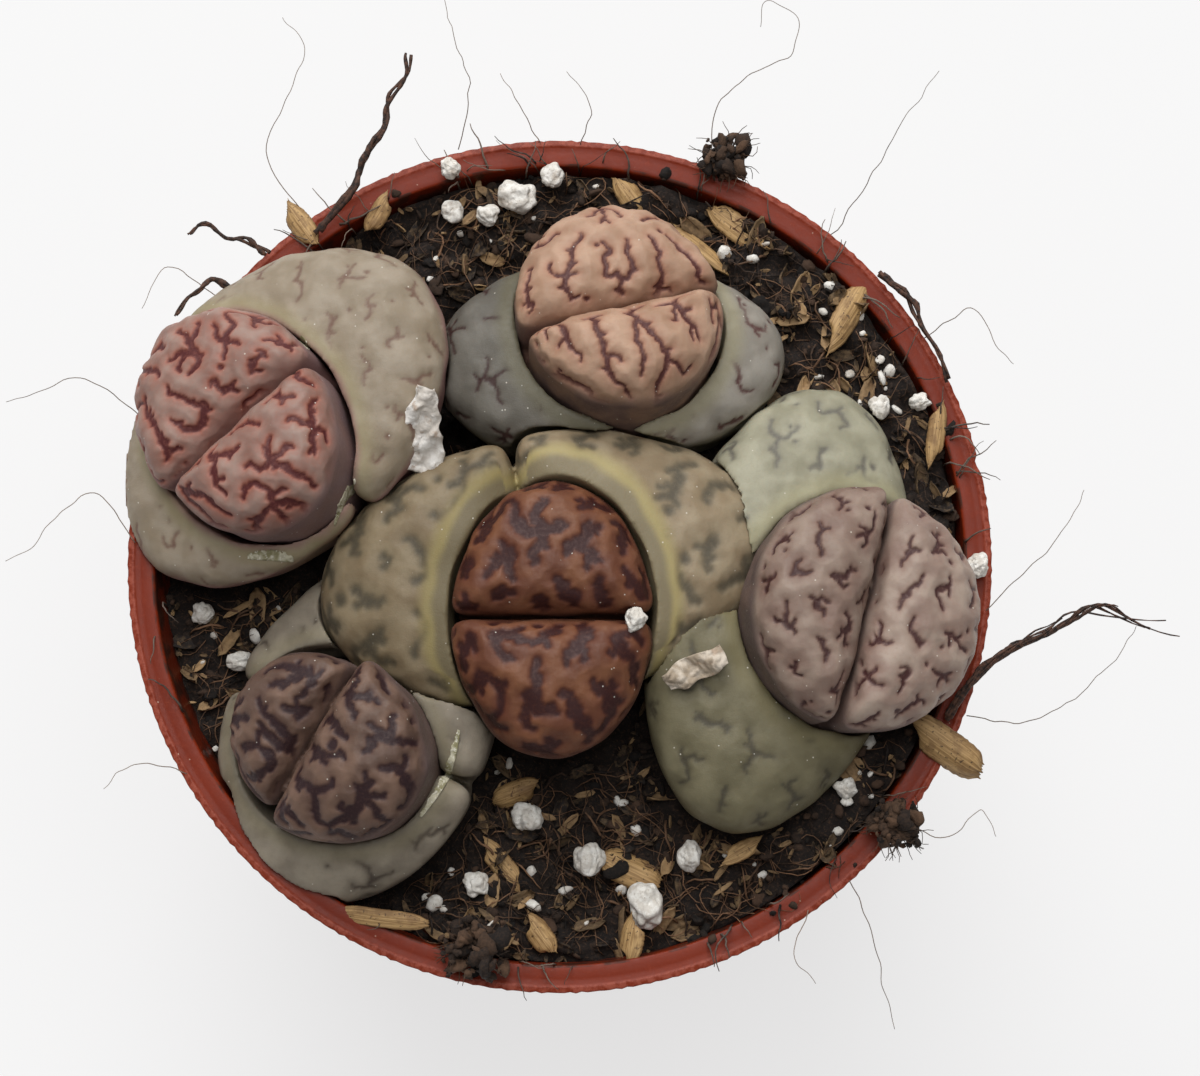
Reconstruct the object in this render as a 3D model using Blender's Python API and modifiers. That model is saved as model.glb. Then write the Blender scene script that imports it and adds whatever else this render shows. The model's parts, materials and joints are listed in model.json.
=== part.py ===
"""Potted lithops: five living-stone plants in compost in a small plastic nursery pot.

Metres, +Z up. The origin is at the centre of the pot's base, on the surface that the pot stands on.
+Y is the back of the pot. Every length constant below is in millimetres and is multiplied by MM.
"""

import math

import bmesh
import bpy
from mathutils import Matrix, Vector, noise
from mathutils.bvhtree import BVHTree

MM = 0.001
GAP = 0.3  # clearance between touching pieces
ROOM = 0.5  # how much a leaf pair is grown to cut what it presses on

# Pot
POT_HEIGHT = 65.0
RIM_RADIUS = 42.3
RIM_BAND = 2.7
RIM_THICKNESS = 1.0
SKIRT_DEPTH = 1.9
SKIRT_THICKNESS = 0.9
WALL = 1.0
BASE_RADIUS = 30.0
FOOT_WIDTH = 2.5
FLOOR_RISE = 1.6
FLOOR_THICKNESS = 1.2
PAD_RADIUS = 12.0
SLOT_COUNT = 8
SLOT_LENGTH = 9.0
SLOT_WIDTH = 3.4
SLOT_CENTRE_RADIUS = 19.0
FOOT_NOTCHES = 6
FOOT_NOTCH_WIDTH = 4.0
POT_STEPS = 56

# Compost
COMPOST_LEVEL = 61.6
COMPOST_SLOPE_X = 0.048
COMPOST_SLOPE_Y = 0.045
COMPOST_LUMP = 1.1
COMPOST_LUMP_SIZE = 9.0
COMPOST_MOUNDS = (  # x, y, height, radius of each heap against the rim, and of the hollow between plants
    (-3.0, 4.0, -7.0, 17.0),
    (27.0, -25.0, 3.2, 9.0),
    (-2.0, 34.0, 0.6, 10.0),
    (-8.0, -37.0, 2.6, 6.0),
)

# Leaves
LOBE_SEGMENTS = 16
LOBE_RINGS = 10
CORNER_POWER = 12.0
DOME_POWER = 2.4
SIDE_POWER = 4.0
CLEFT_POWER = 10.0
FISSURE_GAP = 0.3
FISSURE_DEPTH = 3.0
FUSED_OVERLAP = 1.2

COLOURS = {
    "terracotta_plastic": (0.36, 0.085, 0.045),
    "compost": (0.055, 0.032, 0.022),
    "pink_leaf": (0.42, 0.22, 0.17),
    "green_leaf": (0.27, 0.26, 0.18),
    "perlite": (0.80, 0.79, 0.76),
    "husk": (0.47, 0.31, 0.15),
    "dry_skin": (0.72, 0.69, 0.62),
    "root": (0.045, 0.025, 0.018),
}
ROUGHNESS = {
    "terracotta_plastic": 0.42,
    "compost": 0.95,
    "pink_leaf": 0.55,
    "green_leaf": 0.55,
    "perlite": 0.9,
    "husk": 0.7,
    "dry_skin": 0.8,
    "root": 0.85,
}

# Each pair of fused leaves. The pair's own frame has U along the cleft between its two lobes, V across it
# towards the first lobe, and W up. "at" is the middle of the cleft at the height of the shoulders,
# "heading" is V's compass angle from +X, and "lean" is how far W tips and towards which angle.
# Each lobe is its half length along U, its reach along V and the height of its dome.
PLANTS = {
    "centre": {
        "new": {
            "at": (-0.6, -7.2, 72.6), "heading": 90.0, "lean": (2.0, 270.0), "lift": 1.2, "depth": 15.0,
            "waist": 0.80, "lobes": ((9.6, 13.4, 4.4), (9.7, 13.4, 4.6)),
        },
        "old": {
            "at": (-2.6, -2.0, 68.2), "heading": 10.0, "lean": (2.0, 270.0), "lift": 2.2, "depth": 15.0,
            "waist": 0.62, "lobes": ((13.4, 23.2, 5.2), (13.0, 20.8, 4.8)), "flare": 2.6,
        },
    },
    "left": {
        "new": {
            "at": (-30.2, 11.2, 73.0), "heading": 128.6, "lean": (24.0, 165.0), "lift": 0.8, "depth": 14.0,
            "waist": 0.78, "lobes": ((10.0, 13.8, 4.6), (9.2, 11.8, 4.8)),
        },
        "old": {
            "at": (-27.4, 12.9, 67.2), "heading": 46.0, "lean": (16.0, 165.0), "lift": 1.6, "depth": 13.0,
            "waist": 0.58, "lobes": ((14.2, 20.0, 5.0), (13.2, 18.4, 3.6)), "flare": 1.0,
        },
    },
    "back": {
        "new": {
            "at": (6.0, 22.4, 72.0), "heading": 105.4, "lean": (20.0, 80.0), "lift": 0.8, "depth": 15.0,
            "waist": 0.80, "lobes": ((10.2, 12.4, 4.6), (9.8, 10.2, 5.0)),
        },
        "old": {
            "at": (5.8, 19.2, 66.2), "heading": 3.0, "lean": (10.0, 80.0), "lift": 1.6, "depth": 14.0,
            "waist": 0.62, "lobes": ((10.2, 16.4, 4.6), (11.2, 18.4, 4.8)), "flare": 1.0,
        },
    },
    "right": {
        "new": {
            "at": (28.9, -6.2, 72.0), "heading": -14.8, "lean": (18.0, 0.0), "lift": 0.8, "depth": 15.0,
            "waist": 0.80, "lobes": ((11.8, 12.0, 4.6), (12.0, 11.3, 5.0)),
        },
        "old": {
            "at": (21.2, -5.6, 66.0), "heading": 75.0, "lean": (10.0, 0.0), "lift": 1.6, "depth": 14.0,
            "waist": 0.62, "lobes": ((12.0, 23.0, 5.0), (12.6, 22.0, 5.0)), "flare": 0.8,
        },
    },
    "front": {
        "new": {
            "at": (-23.0, -18.4, 70.0), "heading": 147.4, "lean": (20.0, 190.0), "lift": 0.8, "depth": 13.0,
            "waist": 0.80, "lobes": ((8.0, 9.2, 4.0), (9.3, 11.8, 4.4)),
        },
        "old": {
            "at": (-19.4, -17.4, 64.2), "heading": 66.0, "lean": (10.0, 190.0), "lift": 1.6, "depth": 12.0,
            "waist": 0.62, "lobes": ((13.0, 18.4, 4.6), (13.2, 16.6, 4.4)), "flare": 0.9,
        },
    },
}
PRESS_ORDER = ("centre", "left", "right", "back", "front")  # each plant gives way to the ones before it

# Loose pieces on the compost: x, y, then their sizes
PERLITE_GRAINS = (  # x, y, radius
    (-10.9, 39.0, 1.4), (-4.2, 36.6, 1.9), (-0.6, 38.4, 1.3), (-7.4, 34.6, 1.3),
    (-10.6, 35.2, 1.1), (31.6, 15.2, 1.2), (35.4, 15.6, 1.1), (27.6, -22.6, 1.2),
    (12.7, -28.9, 1.6), (8.4, -33.6, 2.1), (2.8, -29.3, 1.7), (-3.0, -25.0, 1.5),
    (-8.1, -31.4, 1.3), (-35.2, -4.8, 1.2), (-31.4, -9.4, 1.2),
)
PERLITE_ON_LEAF = (7.4, -7.8, 1.3)
PERLITE_ON_RIM = (40.7, -1.0, 1.3)
HUSKS = (  # x, y, length, width, compass angle of the length
    (-25.6, 33.4, 4.6, 2.4, 125.0), (-18.0, 34.6, 3.6, 2.0, 60.0), (17.4, 33.6, 6.2, 2.6, -40.0),
    (13.6, 31.8, 7.2, 1.8, -38.0), (7.0, 36.6, 4.4, 2.4, -55.0), (28.6, 24.6, 7.6, 2.8, 60.0),
    (37.0, 12.4, 5.4, 1.8, 82.0), (6.9, -30.2, 6.0, 3.2, -25.0), (-1.8, -36.6, 3.6, 2.4, 125.0),
    (7.0, -37.2, 3.6, 2.6, 80.0), (-4.4, -22.6, 4.4, 2.4, 20.0), (-17.0, -35.2, 8.6, 1.8, -8.0),
    (17.4, -27.6, 4.0, 1.8, 30.0), (-5.6, -29.6, 5.0, 2.2, -50.0), (37.6, -17.6, 7.6, 3.6, -35.0),
)
SPLINTERS = {  # name: (points, radius at the thick end, radius at the tip)
    "black_twig": (
        ((-24.0, 32.6, 66.4), (-21.9, 34.9, 67.2), (-20.0, 37.5, 68.0), (-19.2, 40.1, 68.4),
         (-17.2, 42.6, 68.9), (-16.8, 45.2, 69.4), (-15.4, 47.4, 69.8), (-14.9, 49.6, 70.2)),
        0.55, 0.28),
    "wiry_root_left": (
        ((-28.8, 30.0, 67.0), (-30.6, 31.4, 67.0), (-32.6, 31.8, 67.3), (-34.8, 32.9, 67.6),
         (-36.6, 32.2, 67.4)),
        0.40, 0.22),
    "wiry_root_side": (
        ((-32.6, 26.8, 66.6), (-34.4, 27.6, 66.9), (-36.2, 26.0, 67.2), (-37.8, 23.8, 67.0)),
        0.42, 0.22),
    "root_bundle": (
        ((37.6, -15.8, 66.5), (39.8, -12.6, 67.0), (43.2, -9.6, 67.6), (47.6, -7.4, 68.2),
         (52.0, -5.6, 68.6), (56.4, -6.4, 68.4), (60.2, -7.6, 68.0)),
        0.95, 0.30),
    "root_on_rim": (
        ((31.6, 28.4, 66.3), (34.6, 25.6, 66.3), (36.4, 21.8, 66.3), (38.2, 17.4, 66.3)),
        0.45, 0.30),
}
DRY_SKINS = {  # name: (x, y, length, width, compass angle, tilt)
    "dry_skin_wedge": (-12.6, 10.6, 7.0, 3.2, 72.0, 40.0),
    "dry_skin_right": (13.4, -13.8, 5.4, 1.8, 35.0, 10.0),
}
CLUMPS = {  # name: (x, y, radius, squash) of compost clods that lie on the rim
    "clod_back": (16.4, 40.0, 2.4, 0.8),
    "clod_right": (32.4, -26.6, 2.8, 0.7),
    "clod_front": (-8.4, -38.6, 3.4, 0.6),
}


def clear_scene():
    for obj in list(bpy.data.objects):
        bpy.data.objects.remove(obj)


def new_collection(name):
    collection = bpy.data.collections.new(name)
    bpy.context.scene.collection.children.link(collection)
    return collection


def make_material(name):
    material = bpy.data.materials.new(name)
    material.use_nodes = True
    shader = material.node_tree.nodes["Principled BSDF"]
    shader.inputs["Base Color"].default_value = (*COLOURS[name], 1.0)
    shader.inputs["Roughness"].default_value = ROUGHNESS[name]
    shader.inputs["Metallic"].default_value = 0.0
    return material


def add_object(name, bm, collection, material=None):
    """Turns a bmesh in millimetres into an object in metres."""
    bmesh.ops.scale(bm, vec=(MM, MM, MM), verts=bm.verts)
    mesh = bpy.data.meshes.new(name)
    bm.to_mesh(mesh)
    bm.free()
    mesh.shade_smooth()
    obj = bpy.data.objects.new(name, mesh)
    collection.objects.link(obj)
    if material:
        mesh.materials.append(material)
    if collection is CUTTERS:
        obj.hide_render = True
        obj.display_type = "WIRE"
    return obj


def add_boolean(obj, operation, other, solver="MANIFOLD"):
    modifier = obj.modifiers.new(f"{operation.lower()} {other.name}", "BOOLEAN")
    modifier.operation = operation
    modifier.object = other
    modifier.solver = solver


def wall_radius(height):
    """The pot's outer wall radius at a height."""
    top = RIM_RADIUS - RIM_BAND + WALL - 0.2
    return BASE_RADIUS + (top - BASE_RADIUS) * height / POT_HEIGHT


def turned(name, profile, collection, material=None, ring=False):
    """A profile of (radius, height) points turned once round Z. A ring's profile is a closed loop."""
    mesh = bpy.data.meshes.new(name)
    points = [(radius * MM, 0.0, height * MM) for radius, height in profile]
    edges = [(i, i + 1) for i in range(len(points) - 1)]
    if ring:
        edges.append((len(points) - 1, 0))
    mesh.from_pydata(points, edges, [])
    obj = bpy.data.objects.new(name, mesh)
    collection.objects.link(obj)
    if collection is CUTTERS:
        obj.hide_render = True
        obj.display_type = "WIRE"
    else:
        mesh.materials.append(material)
    screw = obj.modifiers.new("turn", "SCREW")
    screw.steps = POT_STEPS
    screw.render_steps = POT_STEPS
    screw.use_merge_vertices = True
    screw.merge_threshold = 0.00001
    return obj


def ring_of_cutters(name, count, turn_share, radius, size):
    """Blocks set round Z at one radius. "turn_share" turns the ring by that share of a step."""
    cutters = []
    for i in range(count):
        turn = Matrix.Rotation(2 * math.pi * (i + turn_share) / count, 4, "Z")
        place = turn @ Matrix.Translation((radius, 0.0, 0.0))
        bm = bmesh.new()
        bmesh.ops.create_cube(bm, size=1.0)
        bmesh.ops.transform(bm, matrix=place @ Matrix.Diagonal((*size, 1.0)), verts=bm.verts)
        cutters.append(add_object(f"{name}_{i + 1}", bm, CUTTERS))
    return cutters


def make_drainage_cutters():
    """Slots through the floor, and notches that let water out under the foot ring."""
    slot = (SLOT_LENGTH, SLOT_WIDTH, 3 * (FLOOR_RISE + FLOOR_THICKNESS))
    notch = (3 * FOOT_WIDTH, FOOT_NOTCH_WIDTH, FLOOR_RISE)
    slots = ring_of_cutters("slot_cutter", SLOT_COUNT, 0.0, SLOT_CENTRE_RADIUS, slot)
    return slots + ring_of_cutters("notch_cutter", FOOT_NOTCHES, 0.5, BASE_RADIUS, notch)


def make_pot():
    rim_inner = RIM_RADIUS - RIM_BAND
    under_rim = POT_HEIGHT - RIM_THICKNESS
    floor_top = FLOOR_RISE + FLOOR_THICKNESS
    soften = 0.5
    foot_inner = BASE_RADIUS - FOOT_WIDTH
    profile = [
        (0.0, FLOOR_THICKNESS),
        (PAD_RADIUS - FLOOR_RISE, FLOOR_THICKNESS),
        (PAD_RADIUS, floor_top),
        (wall_radius(floor_top) - WALL, floor_top),
        (rim_inner, POT_HEIGHT - soften),
        (rim_inner + soften, POT_HEIGHT),
        (RIM_RADIUS - soften, POT_HEIGHT),
        (RIM_RADIUS, POT_HEIGHT - soften),
        (RIM_RADIUS - 0.2, POT_HEIGHT - SKIRT_DEPTH),
        (RIM_RADIUS - 0.2 - SKIRT_THICKNESS, POT_HEIGHT - SKIRT_DEPTH),
        (RIM_RADIUS - SKIRT_THICKNESS, under_rim),
        (wall_radius(under_rim), under_rim),
        (BASE_RADIUS + 0.4, 2 * soften),
        (BASE_RADIUS - soften, 0.0),
        (foot_inner, 0.0),
        (foot_inner - soften, FLOOR_RISE),
        (PAD_RADIUS + FLOOR_RISE, FLOOR_RISE),
        (PAD_RADIUS, 0.0),
        (0.0, 0.0),
    ]
    pot = turned("pot", profile, PARTS, MATERIALS["terracotta_plastic"])
    for cutter in make_drainage_cutters():
        add_boolean(pot, "DIFFERENCE", cutter, "EXACT")
    return pot


def compost_height(x, y):
    height = COMPOST_LEVEL + COMPOST_SLOPE_X * x + COMPOST_SLOPE_Y * y
    for mound_x, mound_y, rise, radius in COMPOST_MOUNDS:
        distance = math.hypot(x - mound_x, y - mound_y)
        height += rise * math.exp(-((distance / radius) ** 2))
    place = Vector((x, y, 0.0)) / COMPOST_LUMP_SIZE
    return height + COMPOST_LUMP * noise.noise(place)


def make_compost():
    """One body that fills the pot: a ball pulled out to the pot's inside, its upper half the uneven top."""
    bm = bmesh.new()
    bmesh.ops.create_uvsphere(bm, u_segments=40, v_segments=14, radius=1.0)
    floor = FLOOR_RISE + FLOOR_THICKNESS + GAP
    side_share = 0.75
    for vert in bm.verts:
        direction = math.atan2(vert.co.y, vert.co.x)
        fall = math.acos(max(-1.0, min(1.0, vert.co.z))) / (math.pi / 2)
        edge = wall_radius(COMPOST_LEVEL) - WALL - GAP
        if fall <= 1.0:
            x = fall * edge * math.cos(direction)
            y = fall * edge * math.sin(direction)
            vert.co = (x, y, compost_height(x, y))
            continue
        along = min(1.0, (fall - 1.0) / side_share)
        top = compost_height(edge * math.cos(direction), edge * math.sin(direction))
        height = top + (floor - top) * along
        radius = wall_radius(height) - WALL - 2 * GAP
        if fall - 1.0 > side_share:
            radius *= (2.0 - fall) / (1.0 - side_share)
        vert.co = (radius * math.cos(direction), radius * math.sin(direction), height)
    return add_object("compost", bm, PARTS, MATERIALS["compost"])


def smooth_step(low, high, value):
    t = max(0.0, min(1.0, (value - low) / (high - low)))
    return t * t * (3 - 2 * t)


def lobe_radius(direction_u, direction_v, half_length, reach, flat_side):
    """How far a D-shaped outline reaches from its centre, with its flat side near V = 0."""
    centre = reach / 2
    square = (direction_u / half_length) ** 2 + (direction_v / reach) ** 2
    linear = centre * direction_v / reach**2
    rest = (centre / reach) ** 2 - 1
    ellipse = (-linear + math.sqrt(linear**2 - square * rest)) / square
    if direction_v >= -1e-6:
        return ellipse
    flat = (centre - flat_side) / -direction_v
    return (ellipse**-CORNER_POWER + flat**-CORNER_POWER) ** (-1 / CORNER_POWER)


def lobe_point(unit, half_length, reach, dome, pair, grow):
    """Where a point of the unit ball goes on one fused leaf."""
    fall = math.acos(max(-1.0, min(1.0, unit.z)))
    depth = pair["depth"] + grow
    if fall <= math.pi / 2:
        share = math.sin(fall) ** (2 / DOME_POWER)
        height = dome * max(0.0, math.cos(fall)) ** (2 / DOME_POWER)
    else:
        share = math.sin(fall) ** (2 / SIDE_POWER)
        height = -depth * (-math.cos(fall)) ** (2 / SIDE_POWER)
    direction = math.atan2(unit.y, unit.x)
    along_u, along_v = math.cos(direction), math.sin(direction)
    fused = smooth_step(-FISSURE_DEPTH, -FISSURE_DEPTH - 2.5, height)
    flat_side = FISSURE_GAP / 2 - grow - (FISSURE_GAP / 2 + FUSED_OVERLAP) * fused
    radius = share * lobe_radius(along_u, along_v, half_length + grow, reach + grow, flat_side)
    taper = 1 - (1 - pair["waist"]) * max(0.0, -height / depth) ** 1.2
    u = taper * radius * along_u
    v = taper * (reach / 2 + radius * along_v)
    lift = pair["lift"] * (1 - v / reach) * smooth_step(-FISSURE_DEPTH, 0.0, height)
    return Vector((u, v, height + lift))


def pair_frame(pair):
    """Columns U, V, W and the origin of a leaf pair, in millimetres."""
    heading = math.radians(pair["heading"])
    across = Vector((math.cos(heading), math.sin(heading), 0.0))
    along = across.cross(Vector((0.0, 0.0, 1.0)))
    upright = Matrix((along, across, Vector((0.0, 0.0, 1.0)))).transposed().to_4x4()
    lean, towards = (math.radians(angle) for angle in pair["lean"])
    hinge = Vector((-math.sin(towards), math.cos(towards), 0.0))
    return Matrix.Translation(pair["at"]) @ Matrix.Rotation(lean, 4, hinge) @ upright


def make_lobe(name, pair, index, collection, material=None, grow=0.0):
    half_length, reach, dome = pair["lobes"][index]
    bm = bmesh.new()
    bmesh.ops.create_uvsphere(bm, u_segments=LOBE_SEGMENTS, v_segments=LOBE_RINGS, radius=1.0)
    for vert in bm.verts:
        vert.co = lobe_point(vert.co, half_length, reach, dome, pair, grow)
    side = Matrix.Rotation(math.pi * index, 4, "Z")
    bmesh.ops.transform(bm, matrix=pair_frame(pair) @ side, verts=bm.verts)
    return add_object(name, bm, collection, material)


def make_cleft_cutter(name, pair, flare, rise=16.0):
    """The room that a new leaf pair takes in the old one: its own outline, widening upwards."""
    (length_1, reach_1, _), (length_2, reach_2, _) = pair["lobes"]
    half_length = max(length_1, length_2) + GAP
    bm = bmesh.new()
    bmesh.ops.create_uvsphere(bm, u_segments=24, v_segments=12, radius=1.0)
    for vert in bm.verts:
        up = vert.co.z
        share = math.sqrt(max(0.0, 1 - up * up)) ** (2 / CLEFT_POWER)
        fill = abs(up) ** (2 / CLEFT_POWER)
        if up >= 0:
            height, taper = rise * fill, 1.0
            spread = flare * fill
        else:
            height = -(pair["depth"] + 3 * GAP) * fill
            taper = 1 - (1 - pair["waist"]) * fill**1.2
            spread = 0.0
        direction = math.atan2(vert.co.y, vert.co.x)
        reach = (reach_1 if vert.co.y > 0 else reach_2) + GAP
        u = share * (taper * half_length + spread) * math.cos(direction)
        v = share * (taper * reach + spread) * math.sin(direction)
        vert.co = (u, v, height)
    bmesh.ops.transform(bm, matrix=pair_frame(pair), verts=bm.verts)
    return add_object(name, bm, CUTTERS)


def make_rim_cutter():
    """All the room outside the pot's inner wall and below its rim, where no leaf can be."""
    far = 2 * RIM_RADIUS
    top = POT_HEIGHT + GAP
    inner = RIM_RADIUS - RIM_BAND - GAP
    profile = [
        (inner, top),
        (far, top),
        (far, -1.0),
        (wall_radius(-1.0) - WALL - GAP, -1.0),
        (inner, POT_HEIGHT - 2 * GAP),
    ]
    return turned("rim_cutter", profile, CUTTERS, ring=True)


def make_envelope(name, pair):
    """A leaf pair grown by the clearance, for cutting its neighbours."""
    whole = make_lobe(name, pair, 0, CUTTERS, grow=ROOM)
    add_boolean(whole, "UNION", make_lobe(f"{name}_second", pair, 1, CUTTERS, grow=ROOM))
    return whole


def make_plants(compost):
    pressed_on = []
    rim = make_rim_cutter()
    for plant in PRESS_ORDER:
        new, old = PLANTS[plant]["new"], PLANTS[plant]["old"]
        young = make_lobe(f"{plant}_new_leaves", new, 0, PARTS, MATERIALS["pink_leaf"])
        second = make_lobe(f"{plant}_new_second_lobe", new, 1, CUTTERS)
        add_boolean(young, "UNION", second)
        mature = make_lobe(f"{plant}_old_leaves", old, 0, PARTS, MATERIALS["green_leaf"])
        second = make_lobe(f"{plant}_old_second_lobe", old, 1, CUTTERS)
        add_boolean(mature, "UNION", second)
        cleft = make_cleft_cutter(f"{plant}_cleft", new, old["flare"])
        add_boolean(mature, "DIFFERENCE", cleft)
        for leaves in (young, mature):
            for cutter in [rim, *pressed_on]:
                add_boolean(leaves, "DIFFERENCE", cutter)
        room_old = make_envelope(f"{plant}_old_room", old)
        room_new = make_envelope(f"{plant}_new_room", new)
        add_boolean(compost, "DIFFERENCE", room_old)
        add_boolean(compost, "DIFFERENCE", room_new)
        pressed_on += [room_old, room_new]


def evaluated_tree(objects):
    """One ray-casting tree over the finished shapes of these objects, in world metres."""
    graph = bpy.context.evaluated_depsgraph_get()
    points, faces = [], []
    for obj in objects:
        mesh = obj.evaluated_get(graph).to_mesh()
        start = len(points)
        points += [obj.matrix_world @ vert.co for vert in mesh.vertices]
        faces += [[start + i for i in polygon.vertices] for polygon in mesh.polygons]
        obj.evaluated_get(graph).to_mesh_clear()
    return BVHTree.FromPolygons(points, faces)


def settle(obj, tree, clearance=GAP):
    """Lowers or raises a piece until it lies on what is under it."""
    bpy.context.view_layer.update()
    sky = 200 * MM
    drops = []
    for vert in obj.data.vertices:
        place = obj.matrix_world @ vert.co
        hit = tree.ray_cast(Vector((place.x, place.y, sky)), Vector((0, 0, -1)))
        if hit[0]:
            drops.append(place.z - hit[0].z)
    obj.location.z -= min(drops) - clearance * MM


def make_grain(name, x, y, radius, seed, tree):
    """A lump of perlite or a clod: a rough ball."""
    bm = bmesh.new()
    bmesh.ops.create_icosphere(bm, subdivisions=1, radius=radius)
    for vert in bm.verts:
        swell = 1 + 0.32 * noise.noise(vert.co * 0.9 / radius + Vector((seed, 0.0, 0.0)))
        vert.co = vert.co * swell
        vert.co.z *= 0.8
    grain = add_object(name, bm, PARTS, MATERIALS["perlite"])
    grain.location = (x * MM, y * MM, 0.0)
    settle(grain, tree, clearance=1.5 * GAP)
    return grain


def make_perlite(ground, leaves, rim):
    for i, (x, y, radius) in enumerate(PERLITE_GRAINS):
        make_grain(f"perlite_grain_{i + 1:02d}", x, y, radius, 3.7 * i, ground)
    make_grain("perlite_on_leaf", *PERLITE_ON_LEAF, 61.0, leaves)
    make_grain("perlite_on_rim", *PERLITE_ON_RIM, 67.0, rim)


def make_husk(name, x, y, length, width, angle, tree, thickness=0.7):
    """A seed husk: a flat pointed shell that curls over its length."""
    bm = bmesh.new()
    bmesh.ops.create_uvsphere(bm, u_segments=10, v_segments=5, radius=1.0)
    for vert in bm.verts:
        along, across, up = vert.co
        point = 1 - 0.35 * along * along
        curl = 0.16 * width * (1 - (across * point) ** 2) - 0.06 * length * along * along
        vert.co = (along * length / 2, across * point * width / 2, up * thickness / 2 + curl)
    husk = add_object(name, bm, PARTS, MATERIALS["husk"])
    husk.location = (x * MM, y * MM, 0.0)
    husk.rotation_euler.z = math.radians(angle)
    settle(husk, tree)
    return husk


def smooth_route(points, steps):
    """A Catmull-Rom curve through the points, as a list of its own points."""
    route = [Vector(point) for point in points]
    padded = [2 * route[0] - route[1], *route, 2 * route[-1] - route[-2]]
    out = []
    for p0, p1, p2, p3 in zip(padded, padded[1:], padded[2:], padded[3:]):
        for step in range(steps):
            t = step / steps
            out.append(
                0.5 * (2 * p1 + (p2 - p0) * t + (2 * p0 - 5 * p1 + 4 * p2 - p3) * t**2
                       + (3 * p1 - p0 - 3 * p2 + p3) * t**3)
            )
    return [*out, route[-1]]


def make_splinter(name, points, thick, thin, steps=2):
    """A root or twig: a tube that tapers along its route."""
    curve = bpy.data.curves.new(name, "CURVE")
    curve.dimensions = "3D"
    curve.bevel_depth = MM
    curve.bevel_resolution = 1
    curve.use_fill_caps = True
    route = smooth_route(points, steps)
    spline = curve.splines.new("POLY")
    spline.points.add(len(route) - 1)
    for i, (point, place) in enumerate(zip(spline.points, route)):
        point.co = (*(place * MM), 1.0)
        point.radius = thick + (thin - thick) * i / (len(route) - 1)
    curve.materials.append(MATERIALS["root"])
    obj = bpy.data.objects.new(name, curve)
    PARTS.objects.link(obj)
    return obj


def make_dry_skin(name, x, y, length, width, angle, tilt, tree, thickness=0.5):
    """A crumpled flake of dried leaf skin, thick enough to be a solid."""
    bm = bmesh.new()
    bmesh.ops.create_grid(bm, x_segments=5, y_segments=3, size=1.0)
    for vert in bm.verts:
        along, across = vert.co.x, vert.co.y
        narrow = 0.55 - 0.45 * along
        crumple = 0.5 * noise.noise(Vector((2.1 * along, 2.3 * across, 0.4 * length)))
        vert.co = (along * length / 2, across * narrow * width / 2, crumple)
    skin = add_object(name, bm, PARTS, MATERIALS["dry_skin"])
    solidify = skin.modifiers.new("thickness", "SOLIDIFY")
    solidify.thickness = thickness * MM
    solidify.offset = 0.0
    skin.location = (x * MM, y * MM, 0.0)
    skin.rotation_euler = (math.radians(tilt), 0.0, math.radians(angle))
    settle(skin, tree, clearance=GAP + thickness / 2)
    return skin


def make_clod(name, x, y, radius, squash, seed, tree):
    bm = bmesh.new()
    bmesh.ops.create_icosphere(bm, subdivisions=1, radius=radius)
    for vert in bm.verts:
        swell = 1 + 0.5 * noise.noise(vert.co * 0.7 + Vector((seed, 0.0, 0.0)))
        vert.co = vert.co * swell
        vert.co.z *= squash
    clod = add_object(name, bm, PARTS, MATERIALS["compost"])
    clod.location = (x * MM, y * MM, 0.0)
    settle(clod, tree, clearance=2 * GAP)
    return clod


clear_scene()
PARTS = new_collection("potted_lithops")
CUTTERS = new_collection("cutters")
MATERIALS = {name: make_material(name) for name in COLOURS}

pot_object = make_pot()
compost_object = make_compost()
make_plants(compost_object)
old_leaves = [PARTS.objects[f"{plant}_old_leaves"] for plant in PRESS_ORDER]
new_leaves = [PARTS.objects[f"{plant}_new_leaves"] for plant in PRESS_ORDER]
everything = evaluated_tree([pot_object, compost_object, *old_leaves, *new_leaves])
make_perlite(everything, everything, everything)
for number, husk_facts in enumerate(HUSKS):
    make_husk(f"husk_{number + 1:02d}", *husk_facts, everything)
for clod_name, clod_facts in CLUMPS.items():
    make_clod(clod_name, *clod_facts, 5.0, everything)
for splinter_name, splinter_facts in SPLINTERS.items():
    make_splinter(splinter_name, *splinter_facts)
for skin_name, skin_facts in DRY_SKINS.items():
    make_dry_skin(skin_name, *skin_facts, everything)
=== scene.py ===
"""Looks of the potted lithops: five living-stone plants in compost in a small red nursery pot.

Lengths are millimetres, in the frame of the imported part: the origin is the centre of the pot's base,
+Z is up and +Y is the back. Meshes are made in millimetres and scaled by MM when they become objects.
"""

import json
import math
import random

import bmesh
import bpy
import numpy as np
from mathutils import Matrix, Vector, noise
from mathutils.bvhtree import BVHTree
from mathutils.kdtree import KDTree


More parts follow.
